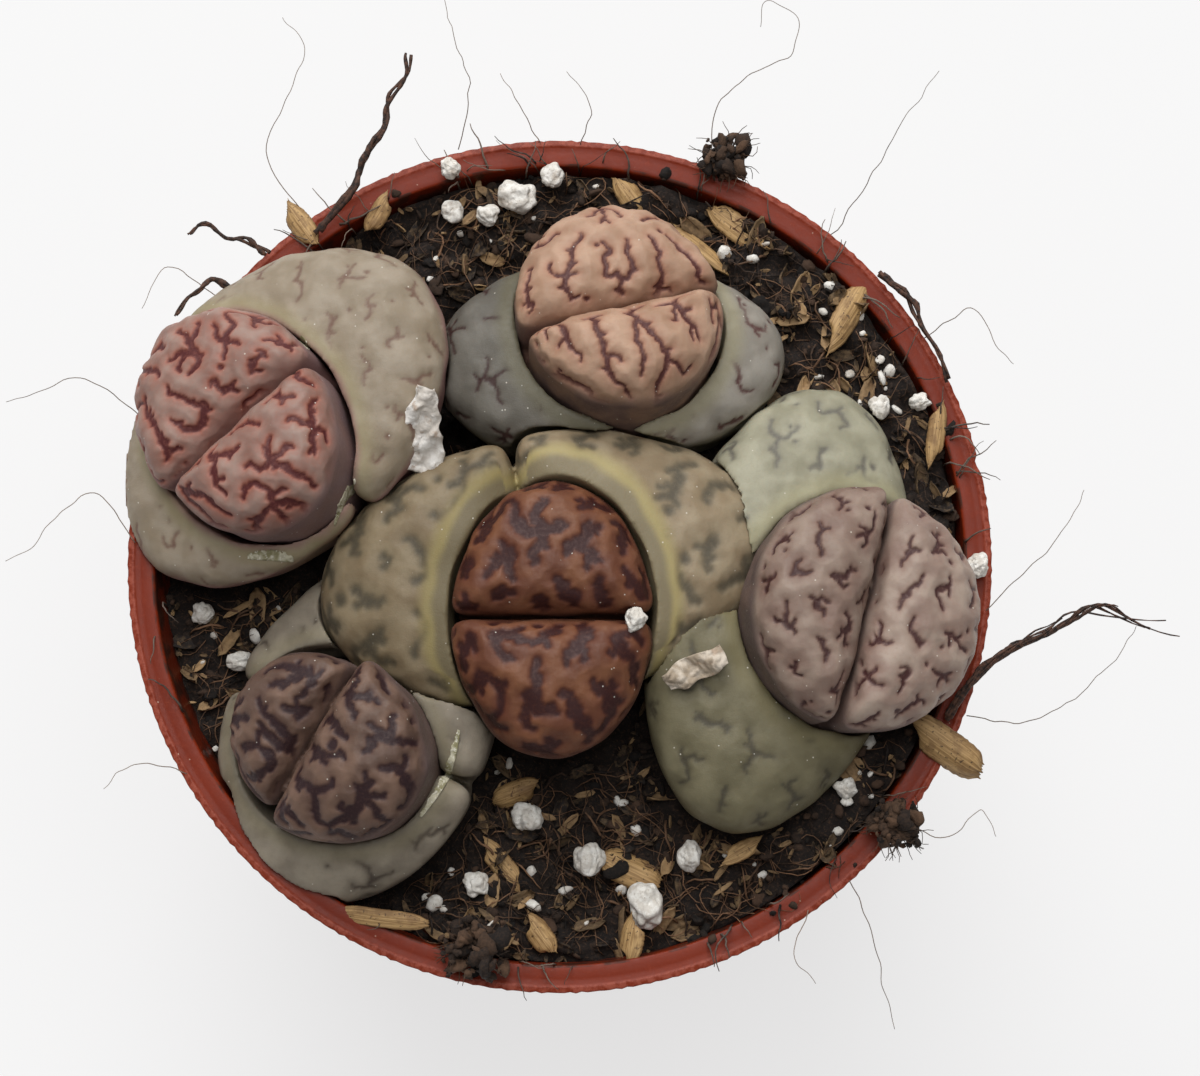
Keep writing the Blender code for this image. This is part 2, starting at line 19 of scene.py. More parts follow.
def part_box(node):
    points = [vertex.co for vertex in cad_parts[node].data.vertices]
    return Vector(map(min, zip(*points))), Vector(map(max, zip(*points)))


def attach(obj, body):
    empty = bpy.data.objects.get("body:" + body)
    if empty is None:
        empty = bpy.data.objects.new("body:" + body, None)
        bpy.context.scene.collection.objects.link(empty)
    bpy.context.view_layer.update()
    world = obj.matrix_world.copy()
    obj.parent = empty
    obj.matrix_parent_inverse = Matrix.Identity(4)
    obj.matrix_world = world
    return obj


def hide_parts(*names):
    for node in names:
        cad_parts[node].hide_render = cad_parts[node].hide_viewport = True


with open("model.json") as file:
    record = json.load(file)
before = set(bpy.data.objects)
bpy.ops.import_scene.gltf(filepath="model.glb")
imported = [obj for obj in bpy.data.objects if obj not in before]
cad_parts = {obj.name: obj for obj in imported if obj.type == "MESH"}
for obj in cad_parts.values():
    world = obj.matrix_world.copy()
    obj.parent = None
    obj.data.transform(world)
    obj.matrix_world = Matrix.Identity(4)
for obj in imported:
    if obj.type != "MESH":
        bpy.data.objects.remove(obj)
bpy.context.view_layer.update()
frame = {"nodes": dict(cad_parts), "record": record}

MM = 0.001
GAP = 0.3
SEAM = 0.12  # between a new leaf pair and the old pair that holds it
ROOM = 0.45
POT_LOW, POT_HIGH = (np.array(corner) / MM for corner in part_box("pot"))
POT_HEIGHT = float(POT_HIGH[2])
RIM_RADIUS = float(POT_HIGH[0] - POT_LOW[0]) / 2
RIM_BAND = 2.7
WALL = 1.0
BASE_RADIUS = 30.0

# Leaf surfaces, as the part's own
CORNER_POWER = 12.0
DOME_POWER = 2.4
SIDE_POWER = 4.0
CLEFT_POWER = 10.0
FISSURE_GAP = 0.40
FISSURE_DEPTH = 3.0
FUSED_OVERLAP = 1.2

PLANTS = {
    "centre": {
        "new": {
            "at": (-0.6, -7.2, 72.6), "heading": 90.0, "lean": (2.0, 270.0), "lift": 1.2, "depth": 15.0,
            "waist": 0.80, "lobes": ((9.6, 13.4, 4.4), (9.7, 13.4, 4.6)),
        },
        "old": {
            "at": (-2.6, -2.0, 68.2), "heading": 10.0, "lean": (2.0, 270.0), "lift": 2.2, "depth": 15.0,
            "waist": 0.62, "lobes": ((13.4, 23.2, 5.2), (13.0, 20.8, 4.8)), "flare": 2.6,
        },
    },
    "left": {
        "new": {
            "at": (-30.2, 11.2, 73.0), "heading": 128.6, "lean": (24.0, 165.0), "lift": 0.8, "depth": 14.0,
            "waist": 0.78, "lobes": ((10.0, 13.8, 4.6), (9.2, 11.8, 4.8)),
        },
        "old": {
            "at": (-27.4, 12.9, 67.2), "heading": 46.0, "lean": (16.0, 165.0), "lift": 1.6, "depth": 13.0,
            "waist": 0.58, "lobes": ((14.2, 20.0, 5.0), (13.2, 18.4, 3.6)), "flare": 0.1,
        },
    },
    "back": {
        "new": {
            "at": (6.0, 22.4, 72.0), "heading": 105.4, "lean": (20.0, 80.0), "lift": 0.8, "depth": 15.0,
            "waist": 0.80, "lobes": ((10.2, 12.4, 4.6), (9.8, 10.2, 5.0)),
        },
        "old": {
            "at": (5.8, 19.2, 66.2), "heading": 3.0, "lean": (10.0, 80.0), "lift": 1.6, "depth": 14.0,
            "waist": 0.62, "lobes": ((10.2, 16.4, 4.6), (11.2, 18.4, 4.8)), "flare": 0.1,
        },
    },
    "right": {
        "new": {
            "at": (28.9, -6.2, 72.0), "heading": -14.8, "lean": (18.0, 0.0), "lift": 0.8, "depth": 15.0,
            "waist": 0.80, "lobes": ((11.8, 12.0, 4.6), (12.0, 11.3, 5.0)),
        },
        "old": {
            "at": (21.2, -5.6, 66.0), "heading": 75.0, "lean": (10.0, 0.0), "lift": 1.6, "depth": 14.0,
            "waist": 0.62, "lobes": ((12.0, 23.0, 5.0), (12.6, 22.0, 5.0)), "flare": 0.1,
        },
    },
    "front": {
        "new": {
            "at": (-23.0, -18.4, 70.0), "heading": 147.4, "lean": (20.0, 190.0), "lift": 0.8, "depth": 13.0,
            "waist": 0.80, "lobes": ((8.0, 9.2, 4.0), (9.3, 11.8, 4.4)),
        },
        "old": {
            "at": (-19.4, -17.4, 64.2), "heading": 66.0, "lean": (10.0, 190.0), "lift": 1.6, "depth": 12.0,
            "waist": 0.62, "lobes": ((13.0, 18.4, 4.6), (13.2, 16.6, 4.4)), "flare": 0.1,
        },
    },
}
PRESS_ORDER = ("centre", "left", "right", "back", "front")  # each plant gives way to the ones before it

# The lines on each leaf pair grow like veins over its top. "part" is how far apart lines stay, "roots" how
# far apart the spots are where they begin, "length" the longest way from there, "link" the share of ends
# that join the nearest line, "wander" how much they bend, "width" half the width of a line.
PATTERNS = {
    "centre_new": dict(part=1.25, roots=3.6, length=24, link=1.0, wander=0.50, width=0.60, soft=0.50,
                       groove=0.12, bulge=0.34, low=-3.2, dots=8, fissure=0.3, seed=11),
    "left_new": dict(part=1.20, roots=3.4, length=18, link=0.35, wander=0.42, width=0.35, soft=0.24,
                     groove=0.18, bulge=0.42, low=-0.9, dots=6, fissure=0.6, seed=23),
    "back_new": dict(part=1.35, roots=4.2, length=26, link=0.55, wander=0.32, width=0.26, soft=0.18,
                     groove=0.16, bulge=0.50, low=-0.6, dots=5, fissure=0.8, seed=37),
    "right_new": dict(part=1.30, roots=3.2, length=6, link=0.15, wander=0.50, width=0.27, soft=0.22,
                      groove=0.16, bulge=0.40, low=-0.9, dots=24, fissure=0.0, seed=41),
    "front_new": dict(part=1.10, roots=3.2, length=16, link=0.70, wander=0.45, width=0.46, soft=0.32,
                      groove=0.12, bulge=0.36, low=-1.0, dots=6, fissure=0.5, seed=53),
    "centre_old": dict(part=1.55, roots=4.2, length=16, link=0.70, wander=0.45, width=0.46, soft=0.90,
                       groove=0.06, bulge=0.30, low=-3.4, dots=34, fissure=0.0, seed=61),
    "left_old": dict(part=1.70, roots=4.0, length=7, link=0.10, wander=0.55, width=0.21, soft=0.36,
                     groove=0.05, bulge=0.26, low=0.2, dots=34, fissure=0.0, seed=71),
    "back_old": dict(part=1.60, roots=4.8, length=20, link=0.15, wander=0.35, width=0.22, soft=0.20,
                     groove=0.08, bulge=0.20, low=-3.4, dots=18, fissure=0.0, seed=83),
    "right_old": dict(part=1.70, roots=4.0, length=8, link=0.25, wander=0.50, width=0.23, soft=0.44,
                      groove=0.06, bulge=0.26, low=-2.6, dots=30, fissure=0.0, seed=97),
    "front_old": dict(part=1.80, roots=4.2, length=7, link=0.15, wander=0.50, width=0.20, soft=0.40,
                      groove=0.06, bulge=0.22, low=-2.6, dots=18, fissure=0.0, seed=101),
}
VEIN_STEP = 0.42
VEIN_CLEARANCE = 0.46
# Colours of each leaf pair, as sRGB 0 to 255. 'side' is partly the flanks' own colour and partly painted shade, put
# where a face does not look up
# 'second' is a near-grey colour multiplied onto one lobe of a pair: painted shade on that lobe.
SKINS = {
    "centre_new": dict(pale=(126, 82, 56), deep=(102, 61, 42), line=(50, 20, 20), halo=(96, 48, 34),
                       side=(92, 66, 58), inner=(92, 56, 44), line_strength=0.96),
    "left_new": dict(pale=(158, 134, 123), deep=(138, 106, 95), line=(78, 28, 30), halo=(176, 88, 62),
                     side=(128, 106, 106), inner=(138, 90, 84), line_strength=0.96),
    "back_new": dict(pale=(186, 153, 129), deep=(164, 131, 107), line=(74, 34, 34), halo=(160, 100, 80),
                     side=(100, 80, 76), inner=(140, 98, 80), line_strength=0.95),
    "right_new": dict(pale=(170, 152, 138), deep=(146, 124, 112), line=(66, 34, 34), halo=(126, 90, 78),
                      side=(108, 94, 92), inner=(128, 98, 88), line_strength=0.95,
                      second=(232, 228, 226)),
    "front_new": dict(pale=(122, 97, 82), deep=(94, 73, 62), line=(42, 22, 26), halo=(86, 58, 50),
                      side=(112, 94, 90), inner=(96, 74, 66), line_strength=0.96),
    "centre_old": dict(pale=(160, 144, 118), deep=(142, 124, 98), line=(80, 74, 62), halo=(112, 102, 82),
                       side=(114, 104, 90), inner=(170, 156, 104), line_strength=0.85, inner_strength=0.8,
                       second=(222, 220, 214)),
    "left_old": dict(pale=(160, 147, 129), deep=(142, 128, 108), line=(106, 74, 64), halo=(140, 124, 104),
                     side=(146, 108, 106), inner=(160, 150, 104), line_strength=0.80),
    "back_old": dict(pale=(158, 152, 142), deep=(138, 132, 122), line=(84, 50, 48), halo=(124, 112, 102),
                     side=(128, 120, 98), inner=(148, 140, 88), line_strength=0.92,
                     second=(182, 182, 180)),
    "right_old": dict(pale=(168, 164, 142), deep=(148, 144, 122), line=(92, 88, 82), halo=(128, 124, 108),
                      side=(118, 112, 92), inner=(164, 156, 110), line_strength=0.80,
                      second=(186, 180, 164)),
    "front_old": dict(pale=(150, 140, 124), deep=(128, 118, 104), line=(66, 54, 48), halo=(96, 88, 74),
                      side=(112, 104, 92), inner=(124, 116, 82), line_strength=0.80),
}
VOXEL_NEW = 0.18
VOXEL_OLD = 0.235


# ---------------------------------------------------------------- colour and node helpers

def linear(colour):
    """An sRGB colour of 0 to 255 as linear RGBA."""
    share = np.array(colour, float) / 255
    low, high = share / 12.92, ((share + 0.055) / 1.055) ** 2.4
    return (*np.where(share <= 0.04045, low, high), 1.0)


class Nodes:
    """A short way to write a material's node tree."""

    def __init__(self, name):
        self.material = bpy.data.materials.new(name)
        self.material.use_nodes = True
        self.tree = self.material.node_tree
        self.shader = self.tree.nodes["Principled BSDF"]
        self.spot = self.add("ShaderNodeTexCoord").outputs["Object"]

    def add(self, kind, **settings):
        node = self.tree.nodes.new(kind)
        for key, value in settings.items():
            setattr(node, key, value)
        return node

    def put(self, socket, value):
        if isinstance(value, bpy.types.NodeSocket):
            self.tree.links.new(value, socket)
        else:
            socket.default_value = value

    def noise(self, size_mm, detail=3.0, rough=0.55, distortion=0.0, where=None):
        """Noise with lumps of about this size."""
        node = self.add("ShaderNodeTexNoise")
        self.put(node.inputs["Vector"], where or self.spot)
        node.inputs["Scale"].default_value = 1 / (size_mm * MM)
        node.inputs["Detail"].default_value = detail
        node.inputs["Roughness"].default_value = rough
        node.inputs["Distortion"].default_value = distortion
        return node.outputs["Fac"]

    def cells(self, size_mm, output="Distance", feature="F1", jitter=1.0):
        node = self.add("ShaderNodeTexVoronoi", feature=feature)
        self.put(node.inputs["Vector"], self.spot)
        node.inputs["Scale"].default_value = 1 / (size_mm * MM)
        node.inputs["Randomness"].default_value = jitter
        return node.outputs[output]

    def remap(self, value, low, high, to_low=0.0, to_high=1.0, smooth=True):
        node = self.add("ShaderNodeMapRange")
        node.interpolation_type = "SMOOTHSTEP" if smooth else "LINEAR"
        self.put(node.inputs["Value"], value)
        node.inputs["From Min"].default_value = low
        node.inputs["From Max"].default_value = high
        node.inputs["To Min"].default_value = to_low
        node.inputs["To Max"].default_value = to_high
        return node.outputs["Result"]

    def math(self, operation, first, second=0.0):
        node = self.add("ShaderNodeMath", operation=operation)
        self.put(node.inputs[0], first)
        self.put(node.inputs[1], second)
        return node.outputs[0]

    def mix(self, share, first, second, blend="MIX"):
        node = self.add("ShaderNodeMix", data_type="RGBA", blend_type=blend)
        self.put(node.inputs["Factor"], share)
        self.put(node.inputs[6], first)
        self.put(node.inputs[7], second)
        return node.outputs[2]

    def attribute(self, name):
        node = self.add("ShaderNodeAttribute", attribute_name=name)
        split = self.add("ShaderNodeSeparateColor")
        self.put(split.inputs[0], node.outputs["Color"])
        return [split.outputs[0], split.outputs[1], split.outputs[2], node.outputs["Alpha"]]

    def bump(self, height, depth_mm, strength=1.0, normal=None):
        node = self.add("ShaderNodeBump")
        self.put(node.inputs["Height"], height)
        node.inputs["Distance"].default_value = depth_mm * MM
        node.inputs["Strength"].default_value = strength
        if normal:
            self.put(node.inputs["Normal"], normal)
        return node.outputs["Normal"]

    def finish(self, colour, roughness, normal=None):
        self.put(self.shader.inputs["Base Color"], colour)
        self.put(self.shader.inputs["Roughness"], roughness)
        if normal:
            self.put(self.shader.inputs["Normal"], normal)
        return self.material


# ---------------------------------------------------------------- mesh helpers

def mesh_object(name, points, faces, smooth=True):
    """An object in metres from points in millimetres."""
    mesh = bpy.data.meshes.new(name)
    mesh.from_pydata([tuple(point) for point in np.asarray(points) * MM], [], faces)
    if smooth:
        mesh.shade_smooth()
    obj = bpy.data.objects.new(name, mesh)
    bpy.context.scene.collection.objects.link(obj)
    return obj


def temporary(name, points, faces):
    """An object in millimetres, for modifiers to work on."""
    mesh = bpy.data.meshes.new(name)
    mesh.from_pydata([tuple(point) for point in points], [], faces)
    obj = bpy.data.objects.new(name, mesh)
    bpy.context.scene.collection.objects.link(obj)
    return obj


def evaluated_arrays(obj):
    """The points and the faces of an object with its modifiers on."""
    graph = bpy.context.evaluated_depsgraph_get()
    mesh = obj.evaluated_get(graph).to_mesh()
    points = np.empty(len(mesh.vertices) * 3)
    mesh.vertices.foreach_get("co", points)
    normals = np.empty(len(mesh.vertices) * 3)
    mesh.vertices.foreach_get("normal", normals)
    faces = [tuple(polygon.vertices) for polygon in mesh.polygons]
    obj.evaluated_get(graph).to_mesh_clear()
    return points.reshape(-1, 3), faces, normals.reshape(-1, 3)


def remove(objects):
    for obj in objects:
        bpy.data.objects.remove(obj)


def place_piece(obj, material, slot, *replaced):
    obj.data.materials.clear()
    obj.data.materials.append(material)
    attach(obj, "root")
    if replaced:
        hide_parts(*replaced)
    return obj


def smooth_step(low, high, value):
    share = np.clip((value - low) / (high - low), 0.0, 1.0)
    return share * share * (3 - 2 * share)


def waves(points, size, seed, count=7):
    """A smooth random field of about -1 to 1 with lumps of this size."""
    rng = np.random.default_rng(seed)
    total = np.zeros(len(points))
    for _ in range(count):
        direction = rng.normal(size=3)
        direction /= np.linalg.norm(direction)
        rate = 2 * math.pi / size * rng.uniform(0.6, 1.5)
        total += np.sin(points @ direction * rate + rng.uniform(0, 2 * math.pi))
    return total / math.sqrt(count)


_BALLS = {}


def unit_ball(segments, rings):
    if (segments, rings) not in _BALLS:
        bm = bmesh.new()
        bmesh.ops.create_uvsphere(bm, u_segments=segments, v_segments=rings, radius=1.0)
        points = np.array([vert.co[:] for vert in bm.verts])
        bm.verts.index_update()
        faces = [tuple(vert.index for vert in face.verts) for face in bm.faces]
        bm.free()
        _BALLS[segments, rings] = (points, faces)
    return _BALLS[segments, rings]


# ---------------------------------------------------------------- leaf shapes

def pair_frame(pair):
    """The rotation whose columns are U, V and W, and the origin, of a leaf pair."""
    heading = math.radians(pair["heading"])
    across = Vector((math.cos(heading), math.sin(heading), 0.0))
    along = across.cross(Vector((0.0, 0.0, 1.0)))
    upright = Matrix((along, across, Vector((0.0, 0.0, 1.0)))).transposed()
    lean, towards = (math.radians(angle) for angle in pair["lean"])
    hinge = Vector((-math.sin(towards), math.cos(towards), 0.0))
    return np.array(Matrix.Rotation(lean, 3, hinge) @ upright), np.array(pair["at"])


def to_world(pair, local):
    turn, origin = pair_frame(pair)
    return local @ turn.T + origin


def to_local(pair, world):
    turn, origin = pair_frame(pair)
    return (world - origin) @ turn


def outline_radius(along_u, along_v, half_length, reach, flat_side):
    """How far a D-shaped outline reaches from its centre, with its flat side near V = 0."""
    centre = reach / 2
    square = (along_u / half_length) ** 2 + (along_v / reach) ** 2
    slope = centre * along_v / reach**2
    rest = (centre / reach) ** 2 - 1
    ellipse = (-slope + np.sqrt(slope**2 - square * rest)) / square
    facing = np.minimum(along_v, -1e-6)
    flat = (centre - flat_side) / -facing
    cut = (ellipse**-CORNER_POWER + flat**-CORNER_POWER) ** (-1 / CORNER_POWER)
    return np.where(along_v >= -1e-6, ellipse, cut)


def lobe_points(pair, index, grow=0.0, segments=128, rings=72):
    half_length, reach, dome = pair["lobes"][index]
    unit, faces = unit_ball(segments, rings)
    fall = np.arccos(np.clip(unit[:, 2], -1, 1))
    depth = pair["depth"] + grow
    upper = fall <= math.pi / 2
    share = np.sin(fall) ** np.where(upper, 2 / DOME_POWER, 2 / SIDE_POWER)
    up = np.maximum(np.cos(fall), 0) ** (2 / DOME_POWER)
    down = np.maximum(-np.cos(fall), 0) ** (2 / SIDE_POWER)
    height = dome * up - depth * down
    direction = np.arctan2(unit[:, 1], unit[:, 0])
    along_u, along_v = np.cos(direction), np.sin(direction)
    fused = smooth_step(-FISSURE_DEPTH, -FISSURE_DEPTH - 2.5, height)
    flat_side = FISSURE_GAP / 2 - grow - (FISSURE_GAP / 2 + FUSED_OVERLAP) * fused
    radius = share * outline_radius(along_u, along_v, half_length + grow, reach + grow, flat_side)
    taper = 1 - (1 - pair["waist"]) * np.maximum(0.0, -height / depth) ** 1.2
    u = taper * radius * along_u
    v = taper * (reach / 2 + radius * along_v)
    lift = pair["lift"] * (1 - v / reach) * smooth_step(-FISSURE_DEPTH, 0.0, height)
    local = np.stack([u, v, height + lift], axis=1)
    if index:
        local = local * np.array([-1.0, -1.0, 1.0])
    return to_world(pair, local), faces


def cleft_reach(pair, local):
    """How far outside the new pair's own outline a point is, in millimetres, on the level of that point."""
    (length_1, reach_1, _), (length_2, reach_2, _) = pair["lobes"]
    half_length = max(length_1, length_2)
    reach = np.where(local[:, 1] > 0, reach_1, reach_2)
    taper = 1 - (1 - pair["waist"]) * np.clip(-local[:, 2] / pair["depth"], 0, 1) ** 1.2
    share = np.hypot(local[:, 0] / (half_length * taper), local[:, 1] / (reach * taper))
    return (share - 1) * (half_length + reach) / 2


def cleft_points(pair, flare, rise=16.0, segments=96, rings=48):
    """The room that a new leaf pair takes in the old one: its own outline, widening upwards."""
    (length_1, reach_1, _), (length_2, reach_2, _) = pair["lobes"]
    half_length = max(length_1, length_2) + SEAM
    unit, faces = unit_ball(segments, rings)
    up = unit[:, 2]
    share = np.sqrt(np.maximum(0.0, 1 - up * up)) ** (2 / CLEFT_POWER)
    fill = np.abs(up) ** (2 / CLEFT_POWER)
    height = np.where(up >= 0, rise * fill, -(pair["depth"] + 3 * SEAM) * fill)
    taper = np.where(up >= 0, 1.0, 1 - (1 - pair["waist"]) * fill**1.2)
    spread = np.where(up >= 0, flare * fill, 0.0)
    direction = np.arctan2(unit[:, 1], unit[:, 0])
    reach = np.where(unit[:, 1] > 0, reach_1, reach_2) + SEAM
    u = share * (taper * half_length + spread) * np.cos(direction)
    v = share * (taper * reach + spread) * np.sin(direction)
    return to_world(pair, np.stack([u, v, height], axis=1)), faces


def ring_cutter():
    """All the room outside the pot's inner wall and below its rim."""
    inner = RIM_RADIUS - RIM_BAND - GAP
    top = POT_HEIGHT + GAP
    low_inner = BASE_RADIUS - WALL - GAP
    profile = [(inner, top), (2 * RIM_RADIUS, top), (2 * RIM_RADIUS, -1.0), (low_inner, -1.0)]
    steps = 120
    points, faces = [], []
    for i in range(steps):
        turn = 2 * math.pi * i / steps
        points += [(r * math.cos(turn), r * math.sin(turn), z) for r, z in profile]
    count = len(profile)
    for i in range(steps):
        for j in range(count):
            a, b = i * count + j, i * count + (j + 1) % count
            c, d = ((i + 1) % steps) * count + (j + 1) % count, ((i + 1) % steps) * count + j
            faces.append((a, b, c, d))
    return temporary("ring_cutter", points, faces)


def boolean(obj, operation, other):
    modifier = obj.modifiers.new(operation, "BOOLEAN")
    modifier.operation = operation
    modifier.object = other
    modifier.solver = "MANIFOLD"


def fused_pair(pair, grow=0.0, segments=128, rings=72):
    whole = temporary("lobe", *lobe_points(pair, 0, grow, segments, rings))
    second = temporary("second", *lobe_points(pair, 1, grow, segments, rings))
    boolean(whole, "UNION", second)
    return whole, second


def grow_leaves(voxel, obj):
    remesh = obj.modifiers.new("even", "REMESH")
    remesh.mode = "VOXEL"
    remesh.voxel_size = voxel
    remesh.adaptivity = 0.0
    soften = obj.modifiers.new("soften", "SMOOTH")
    soften.factor = 0.5
    soften.iterations = 6
    return evaluated_arrays(obj)


# ---------------------------------------------------------------- leaf patterns

def surface_seeds(places, spacing, rng):
    """Some of the places, no two of them nearer to each other than the spacing."""
    picked = np.empty((0, 3))
    for place in places[rng.permutation(len(places))[:5000]]:
        if not len(picked) or ((picked - place) ** 2).sum(1).min() > spacing**2:
            picked = np.vstack([picked, place])
    return picked


def grow_veins(window, look, rng):
    """Branching lines that grow over these surface points: (start, end, width) of every short stretch."""
    tree = KDTree(len(window))
    for i, place in enumerate(window):
        tree.insert(place, i)
    tree.balance()
    near_fissure = window[np.abs(window[:, 1]) < 2.4]
    roots = surface_seeds(window, look["roots"], rng)
    if len(near_fissure) and look["fissure"]:
        starts = surface_seeds(near_fissure, 0.8 * look["roots"], rng)
        apart = np.linalg.norm(roots[:, None] - starts[None], axis=2).min(1)
        rest = roots[(apart > look["roots"]) & (rng.uniform(size=len(roots)) > look["fissure"])]
        roots = np.vstack([starts, rest])
    goals = surface_seeds(window, 0.5 * look["part"], rng)
    nodes, parents, ages = [*roots], [-1] * len(roots), [0] * len(roots)
    family = list(range(len(roots)))
    drift = list(rng.normal(size=(len(roots), 3)))
    for _ in range(40):
        places = np.array(nodes)
        gap = np.linalg.norm(goals[:, None] - places[None], axis=2)
        goals = goals[gap.min(1) > look["part"]]
        if not len(goals):
            break
        gap = np.linalg.norm(goals[:, None] - places[None], axis=2)
        owner = gap.argmin(1)
        seen = gap.min(1) < 3.2 * look["part"]
        added = 0
        for node in np.unique(owner[seen]):
            if ages[node] >= look["length"]:
                continue
            pull = goals[(owner == node) & seen] - places[node]
            pull = (pull / np.linalg.norm(pull, axis=1)[:, None]).mean(0)
            drift[node] = 0.85 * drift[node] + 0.45 * rng.normal(size=3)
            step = pull / (np.linalg.norm(pull) + 1e-6) + look["wander"] * drift[node]
            target = places[node] + VEIN_STEP * step / (np.linalg.norm(step) + 1e-6)
            target = np.array(tree.find(target)[0])
            if crowded(target, node, nodes, parents, 0.85 * look["part"]):
                continue
            nodes.append(target)
            parents.append(int(node))
            ages.append(ages[node] + 1)
            family.append(family[node])
            drift.append(drift[node].copy())
            added += 1
        if not added:
            break
    return veins_from(np.array(nodes), parents, family, look, rng)


def crowded(target, source, nodes, parents, room):
    """Whether a new node would lie too near to a line that it does not branch from."""
    gap = np.linalg.norm(np.array(nodes) - target, axis=1)
    gap[source] = 9.0
    if gap.min() < VEIN_CLEARANCE:
        return True
    trunk, node = set(), source
    for _ in range(4):
        trunk.add(int(node))
        node = parents[node]
        if node < 0:
            break
    for other in np.flatnonzero(gap < room):
        for _ in range(5):
            if int(other) in trunk:
                break
            other = parents[other]
            if other < 0:
                return True
        else:
            return True
    return False


def veins_from(nodes, parents, family, look, rng):
    """The stretches between grown nodes, with widths by how much hangs on them, and links between ends."""
    hanging = np.ones(len(nodes))
    children = np.zeros(len(nodes), int)
    for i in range(len(nodes) - 1, -1, -1):
        if parents[i] >= 0:
            hanging[parents[i]] += hanging[i]
            children[parents[i]] += 1
    width = look["width"] * (0.50 + 0.50 * np.clip(hanging / 9, 0, 1) ** 0.6)
    width = width * rng.uniform(0.85, 1.2, len(nodes)) * np.where(children > 1, 1.3, 1.0)
    stretches = [(nodes[p], nodes[i], width[p], width[i]) for i, p in enumerate(parents) if p >= 0]
    stretches += [(nodes[i], nodes[i] + 0.01, 0.8 * width[i], 0.8 * width[i]) for i in range(len(nodes)) if not children[i] and parents[i] < 0]
    for i in np.flatnonzero(children == 0):
        if rng.uniform() > look["link"]:
            continue
        gap = np.linalg.norm(nodes - nodes[i], axis=1)
        gap[np.array(family) == family[i]] += 0.8 * look["part"]
        gap[max(0, i - 1) : i + 2] = 99.0
        gap[gap < 0.8 * look["part"]] = 99.0
        near = int(gap.argmin())
        if gap[near] < 2.4 * look["part"] and (nodes[near][1] > 0) == (nodes[i][1] > 0):
            stretches.append((nodes[i], nodes[near], width[i], width[near]))
    return stretches


def line_network(local, look):
    """(how much line, distance to the nearest line) at each point of a leaf pair."""
    rng = np.random.default_rng(look["seed"])
    split = local.copy()
    split[:, 1] += 6.0 * np.sign(local[:, 1])
    window = local[:, 2] > look["low"] - 1.0
    seen = split[window]
    spread = seen[rng.permutation(len(seen))[:12000]]
    stretches = grow_veins(spread - (0, 6.0, 0) * np.sign(spread[:, 1:2]), look, rng)
    ripple = np.stack([waves(seen, 1.1, look["seed"] + 60 + i) for i in range(3)], 1)
    seen = local[window] + 0.07 * ripple
    distance = np.full(len(seen), 9.0)
    for start, end, wide, narrow in stretches:
        ahead = end - start
        close = np.flatnonzero(np.abs(seen - (start + end) / 2).max(1) < 3.2)
        part = seen[close]
        share = np.clip((part - start) @ ahead / max(ahead @ ahead, 1e-9), 0, 1)
        gap = np.linalg.norm(part - start - share[:, None] * ahead, axis=1)
        gap = gap - (wide + (narrow - wide) * share)
        gap[(part[:, 1] > 0) != (start[1] > 0)] = 9.0
        distance[close] = np.minimum(distance[close], gap)
    for place in seen[rng.integers(0, len(seen), look["dots"])]:
        size = look["width"] * rng.uniform(0.6, 1.3)
        distance = np.minimum(distance, np.linalg.norm(seen - place, axis=1) - size)
    line = np.zeros(len(local))
    nearest = np.full(len(local), 9.0)
    line[window] = smooth_step(look["soft"] / 2, -look["soft"] / 2, distance)
    nearest[window] = np.maximum(distance, 0.0)
    return line, nearest


def pattern_leaves(name, pair, points, normals, new_pair=None):
    """Presses the lines into the skin and returns the new points and the marks for the material."""
    look = PATTERNS[name]
    local = to_local(pair, points)
    facing = normals @ pair_frame(pair)[0]
    line, nearest = line_network(local, look)
    ragged = 0.9 * waves(local, 3.0, look["seed"] + 50)
    # The top mask falls off low on the flanks and on faces that do not look up. There the material paints the darker
    # side colour as painted shade.
    top = smooth_step(look["low"] - 1.6, look["low"] + 1.2, local[:, 2] + ragged)
    top = top * smooth_step(-0.05, 0.30, facing[:, 2])
    if new_pair is None:
        border = smooth_step(0.05, 0.55, np.abs(local[:, 1]))
        inner = smooth_step(1.6, 0.1, np.abs(local[:, 1]))
        wall = np.zeros(len(local))
    else:
        reach = cleft_reach(new_pair, to_local(new_pair, points))
        rim = reach - look_flare(new_pair, points)
        border = smooth_step(0.9, 2.6, rim + 0.3 * ragged)
        inner = smooth_step(2.8, 0.8, rim)
        # The wall of the cleft, where the new pair sits in the old one, is marked for painted shade.
        wall = smooth_step(0.9, -0.1, rim + 0.15 * ragged)
    marks = line * top * border
    cushion = (1 - np.exp(-((nearest / 1.2) ** 1.2))) * top * border
    shift = look["bulge"] * (cushion - 0.6 * top * border) - look["groove"] * marks
    shift = shift + 0.10 * waves(local, 5.0, look["seed"] + 90)
    halo = np.exp(-nearest / 0.30) * top * border
    shades = np.stack([marks, halo, top, np.ones(len(marks))], axis=1)
    # The third zone marks one lobe of the pair, which the material darkens as painted shade.
    zones = np.stack([inner, wall, smooth_step(0.3, -0.3, local[:, 1]), np.ones(len(marks))], axis=1)
    return points + normals * shift[:, None], shades, zones


def look_flare(new_pair, points):
    """How much wider than the new pair the old pair's cleft is at the height of each point."""
    flare = new_pair["flare"]
    height = to_local(new_pair, points)[:, 2]
    share = np.clip(height / 16.0, 0.0, 1.0)
    return SEAM + flare * np.clip(share, 0, 1) ** 0.2 * (height > 0)


def add_marks(mesh, name, values):
    layer = mesh.color_attributes.new(name, "FLOAT_COLOR", "POINT")
    layer.data.foreach_set("color", values.astype(np.float32).reshape(-1))


